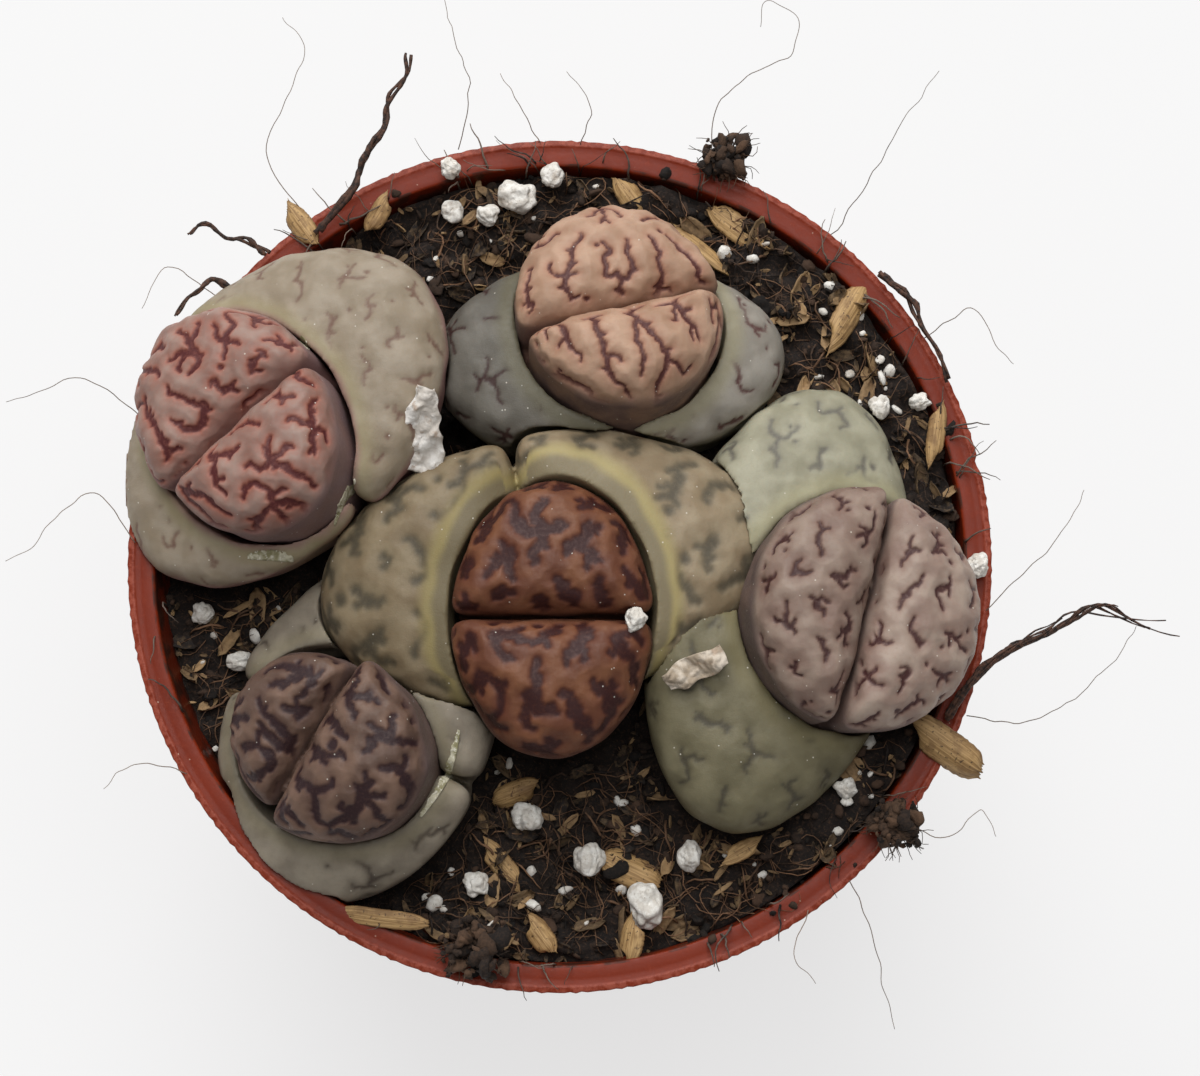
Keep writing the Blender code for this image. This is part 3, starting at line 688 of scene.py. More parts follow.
def leaf_material(name):
    skin = SKINS[name]
    n = Nodes(f"{name}_leaf_skin")
    line, halo, top, _ = n.attribute("shades")
    inner, wall, second, _ = n.attribute("zones")
    blotch = n.noise(3.2, detail=2.0)
    grain = n.noise(0.35, detail=4.0, rough=0.65)
    fine = n.noise(0.12, detail=2.0)
    cushion = n.mix(n.remap(blotch, 0.35, 0.65), linear(skin["pale"]), linear(skin["deep"]))
    mottled = n.mix(n.remap(grain, 0.45, 0.75, 0.0, 0.14), cushion, linear(skin["halo"]))
    # Flanks and faces that do not look up get the side colour: partly their own colour, partly painted shade.
    side = n.mix(n.remap(blotch, 0.3, 0.7, 0.0, 0.5), linear(skin["side"]), linear(skin["deep"]))
    top_and_shaded_sides = n.mix(top, side, mottled)
    with_inner = n.mix(n.math("MULTIPLY", inner, skin.get("inner_strength", 0.35)), top_and_shaded_sides, linear(skin["inner"]))
    with_halo = n.mix(n.math("MULTIPLY", halo, 0.55), with_inner, linear(skin["halo"]))
    ragged_line = n.math("MULTIPLY", line, n.remap(grain, 0.25, 0.55, 0.75, 1.0))
    strength = n.math("MULTIPLY", ragged_line, skin["line_strength"])
    lined = n.mix(strength, with_halo, linear(skin["line"]))
    # The cleft wall takes the side colour at 0.7: painted shade in the recess round the new pair.
    cleft_wall_shaded = n.mix(n.math("MULTIPLY", wall, 0.7), lined, linear(skin["side"]))
    # One lobe is multiplied by the 'second' colour: painted shade on that lobe.
    lobe_shaded = n.mix(second, cleft_wall_shaded, n.mix(1.0, cleft_wall_shaded, linear(skin.get("second", (255, 255, 255))), "MULTIPLY"))
    dots = n.remap(n.cells(0.9), 0.05, 0.11, 1.0, 0.0)
    chosen = n.remap(n.noise(1.3, detail=0.0), 0.56, 0.60)
    dust = n.math("MULTIPLY", n.math("MULTIPLY", dots, chosen), 0.75)
    dusted = n.mix(dust, lobe_shaded, linear((225, 220, 208)))
    height = n.math("ADD", n.math("MULTIPLY", grain, 0.6), n.math("MULTIPLY", fine, 0.4))
    normal = n.bump(height, 0.10, 0.5)
    rough = n.remap(grain, 0.3, 0.7, 0.46, 0.62)
    material = n.finish(dusted, rough, normal)
    n.shader.inputs["Subsurface Weight"].default_value = 0.06
    n.shader.inputs["Subsurface Radius"].default_value = (1.0, 0.45, 0.25)
    n.shader.inputs["Subsurface Scale"].default_value = 1.2 * MM
    n.shader.inputs["Specular IOR Level"].default_value = 0.32
    return material


def make_leaves():
    ring = ring_cutter()
    helpers = [ring]
    pressed_on = []
    skins = []
    for plant in PRESS_ORDER:
        new, old = PLANTS[plant]["new"], PLANTS[plant]["old"]
        new["flare"] = old["flare"]
        young, young_second = fused_pair(new)
        mature, mature_second = fused_pair(old)
        cleft = temporary("cleft", *cleft_points(new, old["flare"]))
        boolean(mature, "DIFFERENCE", cleft)
        for leaves in (young, mature):
            for cutter in [ring, *pressed_on]:
                boolean(leaves, "DIFFERENCE", cutter)
        for kind, pair, obj, voxel in (("new", new, young, VOXEL_NEW), ("old", old, mature, VOXEL_OLD)):
            points, faces, normals = grow_leaves(voxel, obj)
            inside = new if kind == "old" else None
            look = f"{plant}_{kind}"
            points, shades, zones = pattern_leaves(look, pair, points, normals, inside)
            node = f"{plant}_{kind}_leaves"
            piece = mesh_object(f"{node}_skin", points, faces)
            add_marks(piece.data, "shades", shades)
            add_marks(piece.data, "zones", zones)
            slot = next(row["material_slot"] for row in frame["record"]["subparts"] if row["node"] == node)
            skins.append(place_piece(piece, leaf_material(look), slot, node))
        for pair in (old, new):
            room, room_second = fused_pair(pair, ROOM, 64, 40)
            pressed_on.append(room)
            helpers += [room, room_second]
        helpers += [young, young_second, mature, mature_second, cleft]
    remove(helpers)
    return skins


# ---------------------------------------------------------------- pot

POT_STEPS = 480
RIM_THICKNESS = 1.0
SKIRT_DEPTH = 1.9
SKIRT_THICKNESS = 0.9
FOOT_WIDTH = 2.5
FLOOR_RISE = 1.6
FLOOR_THICKNESS = 1.2
PAD_RADIUS = 12.0
SLOT_COUNT = 8
SLOT_SIZE = (9.0, 3.4, 8.4)
SLOT_CENTRE_RADIUS = 19.0
NOTCH_COUNT = 6
NOTCH_SIZE = (7.5, 4.0, 1.6)


def wall_radius(height):
    top = RIM_RADIUS - RIM_BAND + WALL - 0.2
    return BASE_RADIUS + (top - BASE_RADIUS) * height / POT_HEIGHT


def rounded(profile, soften, steps=3):
    """The profile with each corner that is marked with a radius turned into a short arc."""
    points = []
    for i, (radius, height, round_by) in enumerate(profile):
        corner = np.array((radius, height))
        if not round_by:
            points.append(corner)
            continue
        before = np.array(profile[i - 1][:2]) - corner
        after = np.array(profile[i + 1][:2]) - corner
        start = corner + before / np.linalg.norm(before) * round_by
        end = corner + after / np.linalg.norm(after) * round_by
        for share in np.linspace(0, 1, steps + 1):
            points.append((1 - share) ** 2 * start + 2 * share * (1 - share) * corner + share**2 * end)
    return np.array(points)


def block_ring(name, count, turn_share, radius, size):
    """Blocks set round Z at one radius, as one object of separate closed blocks."""
    corners = np.array([(x, y, z) for x in (-0.5, 0.5) for y in (-0.5, 0.5) for z in (-0.5, 0.5)])
    sides = [(0, 1, 3, 2), (4, 6, 7, 5), (0, 4, 5, 1), (2, 3, 7, 6), (0, 2, 6, 4), (1, 5, 7, 3)]
    points, faces = [], []
    for i in range(count):
        turn = 2 * math.pi * (i + turn_share) / count
        local = corners * np.array(size) + np.array((radius, 0, 0))
        spin = np.array([(math.cos(turn), -math.sin(turn), 0), (math.sin(turn), math.cos(turn), 0), (0, 0, 1)])
        faces += [tuple(index + len(points) for index in side) for side in sides]
        points += list(local @ spin.T)
    return temporary(name, points, faces)


def rim_wear(direction, radius, height):
    """How far the lip is moved outwards and upwards: a fine saw edge, slow waves and one chip."""
    outer = smooth_step(RIM_RADIUS - 0.9, RIM_RADIUS - 0.1, radius) * smooth_step(62.0, 64.0, height)
    teeth = 0.05 * np.sin(direction * 170 + 2 * np.sin(direction * 9)) + 0.035 * np.sin(direction * 233)
    slow = 0.10 * np.sin(direction * 3 + 0.8) + 0.06 * np.sin(direction * 7 + 2.0)
    chip_at = math.radians(13)
    chip = np.exp(-(((direction - chip_at) * RIM_RADIUS / 0.55) ** 2))
    return outer * (teeth - 0.35 * chip), outer * (0.03 * np.sin(direction * 41) - 0.3 * chip), slow


def make_pot():
    rim_inner = RIM_RADIUS - RIM_BAND
    under_rim = POT_HEIGHT - RIM_THICKNESS
    floor_top = FLOOR_RISE + FLOOR_THICKNESS
    foot_inner = BASE_RADIUS - FOOT_WIDTH
    skirt = RIM_RADIUS - SKIRT_THICKNESS
    corners = [
        (0.0, FLOOR_THICKNESS, 0),
        (PAD_RADIUS - FLOOR_RISE, FLOOR_THICKNESS, 0.4),
        (PAD_RADIUS, floor_top, 0.4),
        (wall_radius(floor_top) - WALL, floor_top, 0.8),
        (rim_inner - 0.02, POT_HEIGHT - 1.2, 0),
        (rim_inner, POT_HEIGHT - 0.1, 0.25),
        (rim_inner + 0.6, POT_HEIGHT - 0.02, 0),
        (rim_inner + 1.5, POT_HEIGHT - 0.16, 0.2),
        (RIM_RADIUS - 0.75, POT_HEIGHT - 0.10, 0.1),
        (RIM_RADIUS - 0.55, POT_HEIGHT, 0.1),
        (RIM_RADIUS, POT_HEIGHT - 0.12, 0.15),
        (RIM_RADIUS - 0.05, POT_HEIGHT - 0.9, 0),
        (RIM_RADIUS - 0.2, POT_HEIGHT - SKIRT_DEPTH, 0.2),
        (skirt - 0.2, POT_HEIGHT - SKIRT_DEPTH, 0.2),
        (skirt, under_rim, 0.2),
        (wall_radius(under_rim), under_rim, 0.2),
        (BASE_RADIUS + 0.4, 1.2, 0.5),
        (BASE_RADIUS - 0.4, 0.0, 0.2),
        (foot_inner, 0.0, 0.2),
        (foot_inner - 0.5, FLOOR_RISE, 0.2),
        (PAD_RADIUS + FLOOR_RISE, FLOOR_RISE, 0.2),
        (PAD_RADIUS, 0.0, 0.2),
        (0.0, 0.0, 0),
    ]
    profile = rounded(corners, 0.2)
    rings = profile[1:-1]
    count = len(rings)
    turn = np.arange(POT_STEPS) * 2 * math.pi / POT_STEPS
    direction, radius = np.meshgrid(turn, rings[:, 0], indexing="ij")
    height = np.broadcast_to(rings[:, 1], radius.shape)
    signed = (direction + math.pi) % (2 * math.pi) - math.pi
    out, up, slow = rim_wear(signed, radius, height)
    round_by = slow * smooth_step(30.0, 65.0, height) * smooth_step(30.0, 39.0, radius)
    radius = radius + out + 0.4 * np.minimum(round_by, 0.0)
    height = height + up
    points = np.stack([radius * np.cos(direction), radius * np.sin(direction), height], -1).reshape(-1, 3)
    faces = []
    for i in range(POT_STEPS):
        here, there = i * count, (i + 1) % POT_STEPS * count
        faces += [(here + j, here + j + 1, there + j + 1, there + j) for j in range(count - 1)]
    inside, under = len(points), len(points) + 1
    points = np.vstack([points, (0, 0, profile[0][1]), (0, 0, profile[-1][1])])
    for i in range(POT_STEPS):
        here, there = i * count, (i + 1) % POT_STEPS * count
        faces.append((inside, here, there))
        faces.append((under, there + count - 1, here + count - 1))
    body = temporary("pot_body", points, faces)
    bm = bmesh.new()
    bm.from_mesh(body.data)
    bmesh.ops.recalc_face_normals(bm, faces=bm.faces)
    bm.to_mesh(body.data)
    bm.free()
    slots = block_ring("slots", SLOT_COUNT, 0.0, SLOT_CENTRE_RADIUS, SLOT_SIZE)
    notches = block_ring("notches", NOTCH_COUNT, 0.5, BASE_RADIUS, NOTCH_SIZE)
    boolean(body, "DIFFERENCE", slots)
    boolean(body, "DIFFERENCE", notches)
    points, faces, _ = evaluated_arrays(body)
    remove([body, slots, notches])
    pot = mesh_object("pot_shell", points, faces)
    pot.data.set_sharp_from_angle(angle=math.radians(40))
    return place_piece(pot, pot_material(), "terracotta_plastic", "pot")


def pot_material():
    n = Nodes("brick_red_pot_plastic")
    place = n.add("ShaderNodeSeparateXYZ")
    n.put(place.inputs[0], n.spot)
    base = n.mix(n.remap(n.noise(9.0), 0.30, 0.70), linear((124, 40, 12)), linear((114, 35, 10)))
    streak = n.noise(0.6, detail=5.0, rough=0.7)
    worn = n.mix(n.remap(streak, 0.5, 0.75, 0.0, 0.25), base, linear((158, 76, 54)))
    specks = n.remap(n.cells(1.1), 0.04, 0.09, 1.0, 0.0)
    chosen = n.remap(n.noise(1.7, detail=0.0), 0.55, 0.60)
    dusted = n.mix(n.math("MULTIPLY", n.math("MULTIPLY", specks, chosen), 0.6), worn, linear((216, 190, 170)))
    across = n.math("POWER", n.math("ADD", n.math("POWER", place.outputs[0], 2.0),
                                    n.math("POWER", place.outputs[1], 2.0)), 0.5)
    lip = n.remap(across, (RIM_RADIUS - 0.85) * MM, (RIM_RADIUS - 0.55) * MM)
    high = n.remap(place.outputs[2], 63.5 * MM, 64.4 * MM)
    scuffed = n.math("MULTIPLY", n.math("MULTIPLY", lip, high), n.remap(streak, 0.4, 0.6, 0.1, 0.6))
    colour = n.mix(scuffed, dusted, linear((172, 92, 74)))
    slope = (wall_radius(POT_HEIGHT) - BASE_RADIUS) / POT_HEIGHT
    middle = n.math("ADD", n.math("MULTIPLY", place.outputs[2], slope), (BASE_RADIUS - WALL / 2) * MM)
    inside = n.math("LESS_THAN", across, middle)
    # Dark brown on the inner wall above the compost: partly soil smears, partly painted shade of the wall under the
    # rim.
    soil_smear_and_shade = n.math("MULTIPLY", n.remap(n.noise(2.4, detail=5.0), 0.46, 0.60, 0.0, 0.8), inside)
    above = n.remap(place.outputs[2], 50.0 * MM, 58.0 * MM)
    colour = n.mix(n.math("MULTIPLY", soil_smear_and_shade, above), colour, linear((52, 34, 26)))
    normal = n.bump(streak, 0.05, 0.45)
    n.shader.inputs["Specular IOR Level"].default_value = 0.20
    return n.finish(colour, n.remap(streak, 0.3, 0.7, 0.36, 0.52), normal)


# ---------------------------------------------------------------- compost

COMPOST_LEVEL = 61.6
COMPOST_SLOPE = (0.048, 0.045)
COMPOST_MOUNDS = ((-3.0, 4.0, -7.0, 17.0), (27.0, -25.0, 3.2, 9.0), (-2.0, 34.0, 0.6, 10.0), (-8.0, -37.0, 2.6, 6.0))
COMPOST_LUMPS = ((9.0, 1.1), (4.2, 1.3), (2.2, 1.3), (1.1, 0.8), (0.6, 0.35))
COMPOST_GRID = 0.34


def compost_height(x, y):
    height = COMPOST_LEVEL + COMPOST_SLOPE[0] * x + COMPOST_SLOPE[1] * y
    for mound_x, mound_y, rise, radius in COMPOST_MOUNDS:
        distance = math.hypot(x - mound_x, y - mound_y)
        height += rise * math.exp(-((distance / radius) ** 2))
    for size, rise in COMPOST_LUMPS:
        height += rise * noise.noise(Vector((x, y, 0.0)) / size)
    return height


def compost_material():
    n = Nodes("peat_and_coir")
    coarse, fine = n.noise(1.6, detail=5.0, rough=0.7), n.noise(0.35, detail=5.0, rough=0.7)
    base = n.mix(n.remap(coarse, 0.35, 0.65), linear((21, 14, 11)), linear((38, 27, 21)))
    warm = n.mix(n.remap(fine, 0.5, 0.75, 0.0, 0.8), base, linear((98, 72, 52)))
    # Darker where the fine bump is low: painted shade in the hollows.
    dark = n.mix(n.remap(fine, 0.45, 0.25, 0.0, 0.8), warm, linear((18, 12, 9)))
    return n.finish(dark, 0.92, n.bump(fine, 0.5, 0.8))


def make_compost():
    """The compost from the pot's floor up, with its lumpy top."""
    radius = wall_radius(POT_HEIGHT) - WALL - 0.35
    count = int(2 * radius / COMPOST_GRID)
    rings = int(radius / COMPOST_GRID)
    points, faces, steps = [(0.0, 0.0, compost_height(0, 0))], [], 360
    for i in range(1, rings + 1):
        reach = radius * i / rings
        for j in range(steps):
            turn = 2 * math.pi * (j + 0.5 * (i % 2)) / steps
            x, y = reach * math.cos(turn), reach * math.sin(turn)
            points.append((x, y, compost_height(x, y)))
    floor = FLOOR_RISE + FLOOR_THICKNESS + 0.3
    for height in (45.0, 25.0, floor):
        reach = wall_radius(height) - WALL - 0.35
        for j in range(steps):
            turn = 2 * math.pi * (j + 0.5 * (rings % 2)) / steps
            points.append((reach * math.cos(turn), reach * math.sin(turn), height))
    total = rings + 3
    for j in range(steps):
        faces.append((0, 1 + j, 1 + (j + 1) % steps))
    for i in range(total - 1):
        here, there = 1 + i * steps, 1 + (i + 1) * steps
        shift = 1 if i < rings and (i + 1) % 2 and False else 0
        for j in range(steps):
            k = (j + 1 + shift) % steps
            faces.append((here + j, there + j, there + k, here + k))
    faces.append(tuple(reversed([1 + (total - 1) * steps + j for j in range(steps)])))
    compost = mesh_object("compost_body", points, faces)
    return place_piece(compost, compost_material(), "compost", "compost")


class Ground:
    """What lies below a spot: compost, pot or a leaf, with its height and slope."""

    def __init__(self, compost, pot, leaves):
        self.trees = {"compost": self.tree([compost]), "pot": self.tree([pot]), "leaf": self.tree(leaves)}

    def tree(self, objects):
        points, faces = [], []
        for obj in objects:
            start = len(points)
            points += [vert.co / MM for vert in obj.data.vertices]
            faces += [tuple(start + i for i in polygon.vertices) for polygon in obj.data.polygons]
        return BVHTree.FromPolygons(points, faces)

    def under(self, x, y):
        """(kind, height, normal) of the highest surface at this spot, or None off the pot."""
        best = None
        for kind, tree in self.trees.items():
            place, normal, _, _ = tree.ray_cast(Vector((x, y, 200.0)), Vector((0, 0, -1)))
            if place is not None and (best is None or place.z > best[1]):
                best = (kind, place.z, normal)
        return best


class Heap:
    """Many small closed bits collected into one object, each with its own tint."""

    def __init__(self):
        self.points, self.faces, self.tints, self.count = [], [], [], 0

    def add(self, points, faces, tint):
        self.faces += [tuple(index + self.count for index in face) for face in faces]
        self.points.append(points)
        self.tints.append(np.broadcast_to(np.array((*tint, 1.0)), (len(points), 4)))
        self.count += len(points)

    def build(self, name):
        piece = mesh_object(name, np.vstack(self.points), self.faces)
        add_marks(piece.data, "tint", np.vstack(self.tints))
        return piece


_LUMPS = {}


def ico(detail):
    if detail not in _LUMPS:
        bm = bmesh.new()
        bmesh.ops.create_icosphere(bm, subdivisions=detail, radius=1.0)
        bm.verts.index_update()
        points = np.array([vert.co[:] for vert in bm.verts])
        faces = [tuple(vert.index for vert in face.verts) for face in bm.faces]
        bm.free()
        _LUMPS[detail] = (points, faces)
    return _LUMPS[detail]


def random_turn(rng):
    axis = rng.normal(size=3)
    turn = Matrix.Rotation(rng.uniform(0, 2 * math.pi), 3, Vector(axis))
    return np.array(turn)


def lump(rng, radius, detail, uneven=0.34, flat=0.75):
    """An uneven closed lump round the origin."""
    unit, faces = ico(detail)
    seed = int(rng.integers(1, 1 << 30))
    size = 1 + uneven * waves(unit, 2.6, seed) + 0.5 * uneven * waves(unit, 1.1, seed + 1)
    points = unit * size[:, None] * rng.uniform(0.45, 1.3, 3) * radius
    points = points @ random_turn(rng).T
    points[:, 2] *= flat
    return points, faces


def tinted_material(name, dark, pale, roughness=0.9, grain=0.3, depth=0.2):
    n = Nodes(name)
    tint = n.attribute("tint")[0]
    fine = n.noise(grain, detail=4.0, rough=0.65)
    share = n.math("ADD", tint, n.remap(fine, 0.3, 0.7, -0.22, 0.22, smooth=False))
    node = n.add("ShaderNodeClamp")
    n.put(node.inputs[0], share)
    colour = n.mix(node.outputs[0], linear(dark), linear(pale))
    return n.finish(colour, roughness, n.bump(fine, depth, 0.7))


def random_spot(rng, reach=39.0):
    radius = reach * math.sqrt(rng.uniform(0, 1))
    turn = rng.uniform(0, 2 * math.pi)
    return radius * math.cos(turn), radius * math.sin(turn)


CRUMB_COUNTS = ((3, 150, (0.5, 1.1)), (2, 2000, (0.2, 0.6)))
SPILL_SECTORS = ((-72, -28, 0.50), (-112, -98, 0.5), (60, 100, 0.25), (8, 50, 0.25), (100, 128, 0.20))


def in_spill(rng, x, y):
    """Whether a bit may lie on the rim here: more of them where compost has spilled."""
    degrees = math.degrees(math.atan2(y, x))
    for low, high, share in SPILL_SECTORS:
        if low < degrees < high:
            return rng.uniform() < share
    return rng.uniform() < 0.02


def make_crumbs(ground):
    rng = np.random.default_rng(5)
    heap = Heap()
    for detail, count, sizes in CRUMB_COUNTS:
        for _ in range(count):
            x, y = random_spot(rng, 41.6)
            found = ground.under(x, y)
            if found is None or found[0] == "leaf":
                continue
            if found[0] == "pot" and (not in_spill(rng, x, y) or detail == 2 and rng.uniform() < 0.7):
                continue
            radius = rng.uniform(*sizes) if found[0] == "compost" else rng.uniform(0.25, 0.8)
            points, faces = lump(rng, radius, detail)
            heap.add(points + (x, y, found[1] + 0.25 * radius), faces, (rng.uniform(0, 1) ** 1.6, 0, 0))
    material = tinted_material("compost_crumbs", (17, 12, 9), (76, 56, 42), 0.92)
    place_piece(heap.build("compost_crumbs"), material, "compost")


def tube(route, radii, sides=5):
    """A closed tube along a route of points."""
    route = np.asarray(route, float)
    ahead = np.gradient(route, axis=0)
    ahead /= np.linalg.norm(ahead, axis=1)[:, None]
    helper = np.array((0.31, 0.17, 0.94))
    across = np.cross(ahead, helper)
    across /= np.linalg.norm(across, axis=1)[:, None]
    up = np.cross(ahead, across)
    turns = np.arange(sides) * 2 * math.pi / sides
    ring = np.cos(turns)[None, :, None] * across[:, None, :] + np.sin(turns)[None, :, None] * up[:, None, :]
    points = (route[:, None, :] + ring * np.asarray(radii)[:, None, None]).reshape(-1, 3)
    faces = []
    for i in range(len(route) - 1):
        for j in range(sides):
            k = (j + 1) % sides
            faces.append((i * sides + j, i * sides + k, (i + 1) * sides + k, (i + 1) * sides + j))
    faces.append(tuple(reversed(range(sides))))
    faces.append(tuple((len(route) - 1) * sides + j for j in range(sides)))
    return points, faces


FIBRE_COUNTS = ((2300, 0.035, 0.07, 9, 0.70), (700, 0.07, 0.17, 7, 0.6))


def make_fibres(ground):
    rng = np.random.default_rng(9)
    heap = Heap()
    for count, thin, thick, steps, stride in FIBRE_COUNTS:
        for _ in range(count):
            x, y = random_spot(rng, 40.5)
            turn = rng.uniform(0, 2 * math.pi)
            bend = rng.normal(0, 0.22)
            hop = rng.uniform(0.1, 1.1)
            route = []
            for step in range(steps):
                found = ground.under(x, y)
                if found is None or found[0] == "leaf" or found[0] == "pot" and not in_spill(rng, x, y):
                    break
                share = step / (steps - 1)
                route.append((x, y, found[1] + 0.1 + hop * math.sin(math.pi * share) + rng.normal(0, 0.05)))
                turn += bend + rng.normal(0, 0.35)
                x += stride * math.cos(turn)
                y += stride * math.sin(turn)
            if len(route) < 4:
                continue
            radii = rng.uniform(thin, thick) * np.linspace(1.0, 0.55, len(route))
            points, faces = tube(route, radii, 4)
            heap.add(points, faces, (rng.uniform(0, 1) ** 1.2, 0, 0))
    material = tinted_material("coir_fibres", (24, 16, 12), (138, 102, 74), 0.75, 0.6, 0.05)
    place_piece(heap.build("compost_fibres"), material, "compost")


def flake(rng, length, width, thickness, curl):
    """A thin chip with pointed or broken ends, lying along X."""
    along, across = 7, 4
    points = []
    for side in (1, -1):
        for i in range(along):
            for j in range(across):
                u = i / (along - 1) * 2 - 1
                v = j / (across - 1) * 2 - 1
                narrow = (1 - abs(u) ** 3) ** 0.6 * 0.9 + 0.1
                points.append((u * length / 2, v * width / 2 * narrow, curl * (v * v - 0.4) * width + side * thickness / 2))
    points = np.array(points) + 0.04 * width * rng.normal(size=(len(points), 3)) * np.array((1, 1, 0.4))
    top = lambda i, j: i * across + j
    low = lambda i, j: along * across + i * across + j
    faces = []
    for i in range(along - 1):
        for j in range(across - 1):
            faces.append((top(i, j), top(i + 1, j), top(i + 1, j + 1), top(i, j + 1)))
            faces.append((low(i, j), low(i, j + 1), low(i + 1, j + 1), low(i + 1, j)))
    for i in range(along - 1):
        faces.append((top(i, 0), low(i, 0), low(i + 1, 0), top(i + 1, 0)))
        faces.append((top(i + 1, across - 1), low(i + 1, across - 1), low(i, across - 1), top(i, across - 1)))
    for j in range(across - 1):
        faces.append((top(0, j + 1), low(0, j + 1), low(0, j), top(0, j)))
        faces.append((top(along - 1, j), low(along - 1, j), low(along - 1, j + 1), top(along - 1, j + 1)))
    return points, faces


def lay(points, x, y, height, turn, tilt, roll):
    """Turns a bit that lies along X and puts it at a spot."""
    spin = Matrix.Rotation(turn, 3, "Z") @ Matrix.Rotation(tilt, 3, "Y") @ Matrix.Rotation(roll, 3, "X")
    return points @ np.array(spin).T + (x, y, height)


def make_flakes(ground):
    rng = np.random.default_rng(21)
    heap = Heap()
    for _ in range(1500):
        x, y = random_spot(rng, 39.5)
        found = ground.under(x, y)
        if found is None or found[0] == "leaf":
            continue
        if found[0] == "pot" and not in_spill(rng, x, y):
            continue
        length = 0.7 + 3.4 * rng.uniform() ** 2
        points, faces = flake(rng, length, length * rng.uniform(0.18, 0.45), 0.14, rng.uniform(0.1, 0.6))
        turn, tilt, roll = rng.uniform(0, 6.3), rng.normal(0, 0.45), rng.normal(0, 0.5)
        heap.add(lay(points, x, y, found[1] + 0.3, turn, tilt, roll), faces, (rng.uniform(0, 1) ** 1.5, 0, 0))
    material = tinted_material("bark_flakes", (30, 21, 16), (170, 138, 98), 0.8, 0.5, 0.08)
    place_piece(heap.build("compost_flakes"), material, "compost")


# ---------------------------------------------------------------- loose pieces

def perlite_material():
    n = Nodes("white_perlite")
    lumps, fine = n.noise(0.9, detail=4.0, rough=0.65), n.noise(0.22, detail=3.0)
    base = n.mix(n.remap(lumps, 0.40, 0.62), linear((214, 208, 198)), linear((240, 237, 230)))
    stain = n.mix(n.remap(n.noise(2.2, detail=3.0), 0.56, 0.70, 0.0, 0.55), base, linear((176, 158, 138)))
    # Grey dots for pits: painted shade inside the pits.
    pits = n.remap(n.cells(0.42), 0.10, 0.20, 0.5, 0.0)
    colour = n.mix(pits, stain, linear((150, 138, 124)))
    return n.finish(colour, 0.9, n.bump(fine, 0.12, 0.8))


def grain_points(seed, size):
    """A foamy grain that fills a box of this size."""
    unit, faces = ico(5)
    bumps = 0.14 * waves(unit, 1.6, seed) + 0.07 * waves(unit, 0.7, seed + 1)
    pits = -0.10 * np.maximum(0, waves(unit, 0.42, seed + 2) - 0.5)
    points = unit * (1 + bumps + pits)[:, None]
    reach = np.abs(points).max(axis=0)
    return points / reach * np.array(size) / 2, faces


def node_box(node):
    low, high = (np.array(corner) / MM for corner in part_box(node))
    return (low + high) / 2, high - low


def make_perlite(ground):
    material = perlite_material()
    nodes = sorted(name for name in frame["nodes"] if name.startswith("perlite"))
    for i, node in enumerate(nodes):
        centre, size = node_box(node)
        stretch = np.random.default_rng(i + 3).uniform(0.95, 1.2, 3)
        points, faces = grain_points(i * 11 + 5, size * stretch)
        piece = mesh_object(f"{node}_foam", points + centre, faces)
        place_piece(piece, material, "perlite", node)
    rng = np.random.default_rng(31)
    heap = Heap()
    for _ in range(240):
        x, y = random_spot(rng, 38.5)
        found = ground.under(x, y)
        if found is None or found[0] != "compost":
            continue
        radius = rng.uniform(0.2, 0.75)
        points, faces = lump(rng, radius, 2, 0.2, 0.85)
        heap.add(points + (x, y, found[1] + 0.45 * radius), faces, (1, 0, 0))
    place_piece(heap.build("perlite_crumbs"), material, "perlite")


HUSK_SHAPES = {  # length, width, heading of each husk
    "husk_01": (4.6, 2.4, 125), "husk_02": (3.6, 2.0, 60), "husk_03": (6.2, 2.6, -40), "husk_04": (7.2, 1.8, -38),
    "husk_05": (4.4, 2.4, -55), "husk_06": (7.6, 2.8, 60), "husk_07": (5.4, 1.8, 82), "husk_08": (6.0, 3.2, -25),
    "husk_09": (3.6, 2.4, 125), "husk_10": (3.6, 2.6, 80), "husk_11": (4.4, 2.4, 20), "husk_12": (8.6, 1.8, -8),
    "husk_13": (4.0, 1.8, 30), "husk_14": (5.0, 2.2, -50), "husk_15": (7.6, 3.6, -35),
}
HUSK_SHIFTS = {"husk_13": (0.3, -0.9, -4.4), "husk_15": (0.0, -1.2, -7.9)}  # off a leaf's shoulder, to what is below


def husk_material():
    n = Nodes("straw_husk")
    along, across, edge, _ = n.attribute("shades")
    stretch = n.add("ShaderNodeCombineXYZ")
    n.put(stretch.inputs[0], n.math("MULTIPLY", along, 2.0))
    n.put(stretch.inputs[1], n.math("MULTIPLY", across, 16.0))
    n.put(stretch.inputs[2], n.noise(9.0))
    veins = n.add("ShaderNodeTexNoise")
    n.put(veins.inputs["Vector"], stretch.outputs[0])
    veins.inputs["Scale"].default_value = 1.0
    veins.inputs["Detail"].default_value = 3.0
    streak = veins.outputs["Fac"]
    base = n.mix(n.remap(streak, 0.35, 0.65), linear((150, 116, 72)), linear((196, 160, 108)))
    patch = n.mix(n.remap(n.noise(1.8, detail=3.0), 0.52, 0.66, 0.0, 0.6), base, linear((120, 88, 54)))
    specks = n.remap(n.noise(0.35, detail=2.0), 0.62, 0.70, 0.0, 0.8)
    colour = n.mix(specks, patch, linear((66, 46, 30)))
    colour = n.mix(n.math("MULTIPLY", edge, 0.45), colour, linear((112, 82, 52)))
    return n.finish(colour, 0.62, n.bump(streak, 0.12, 0.7))


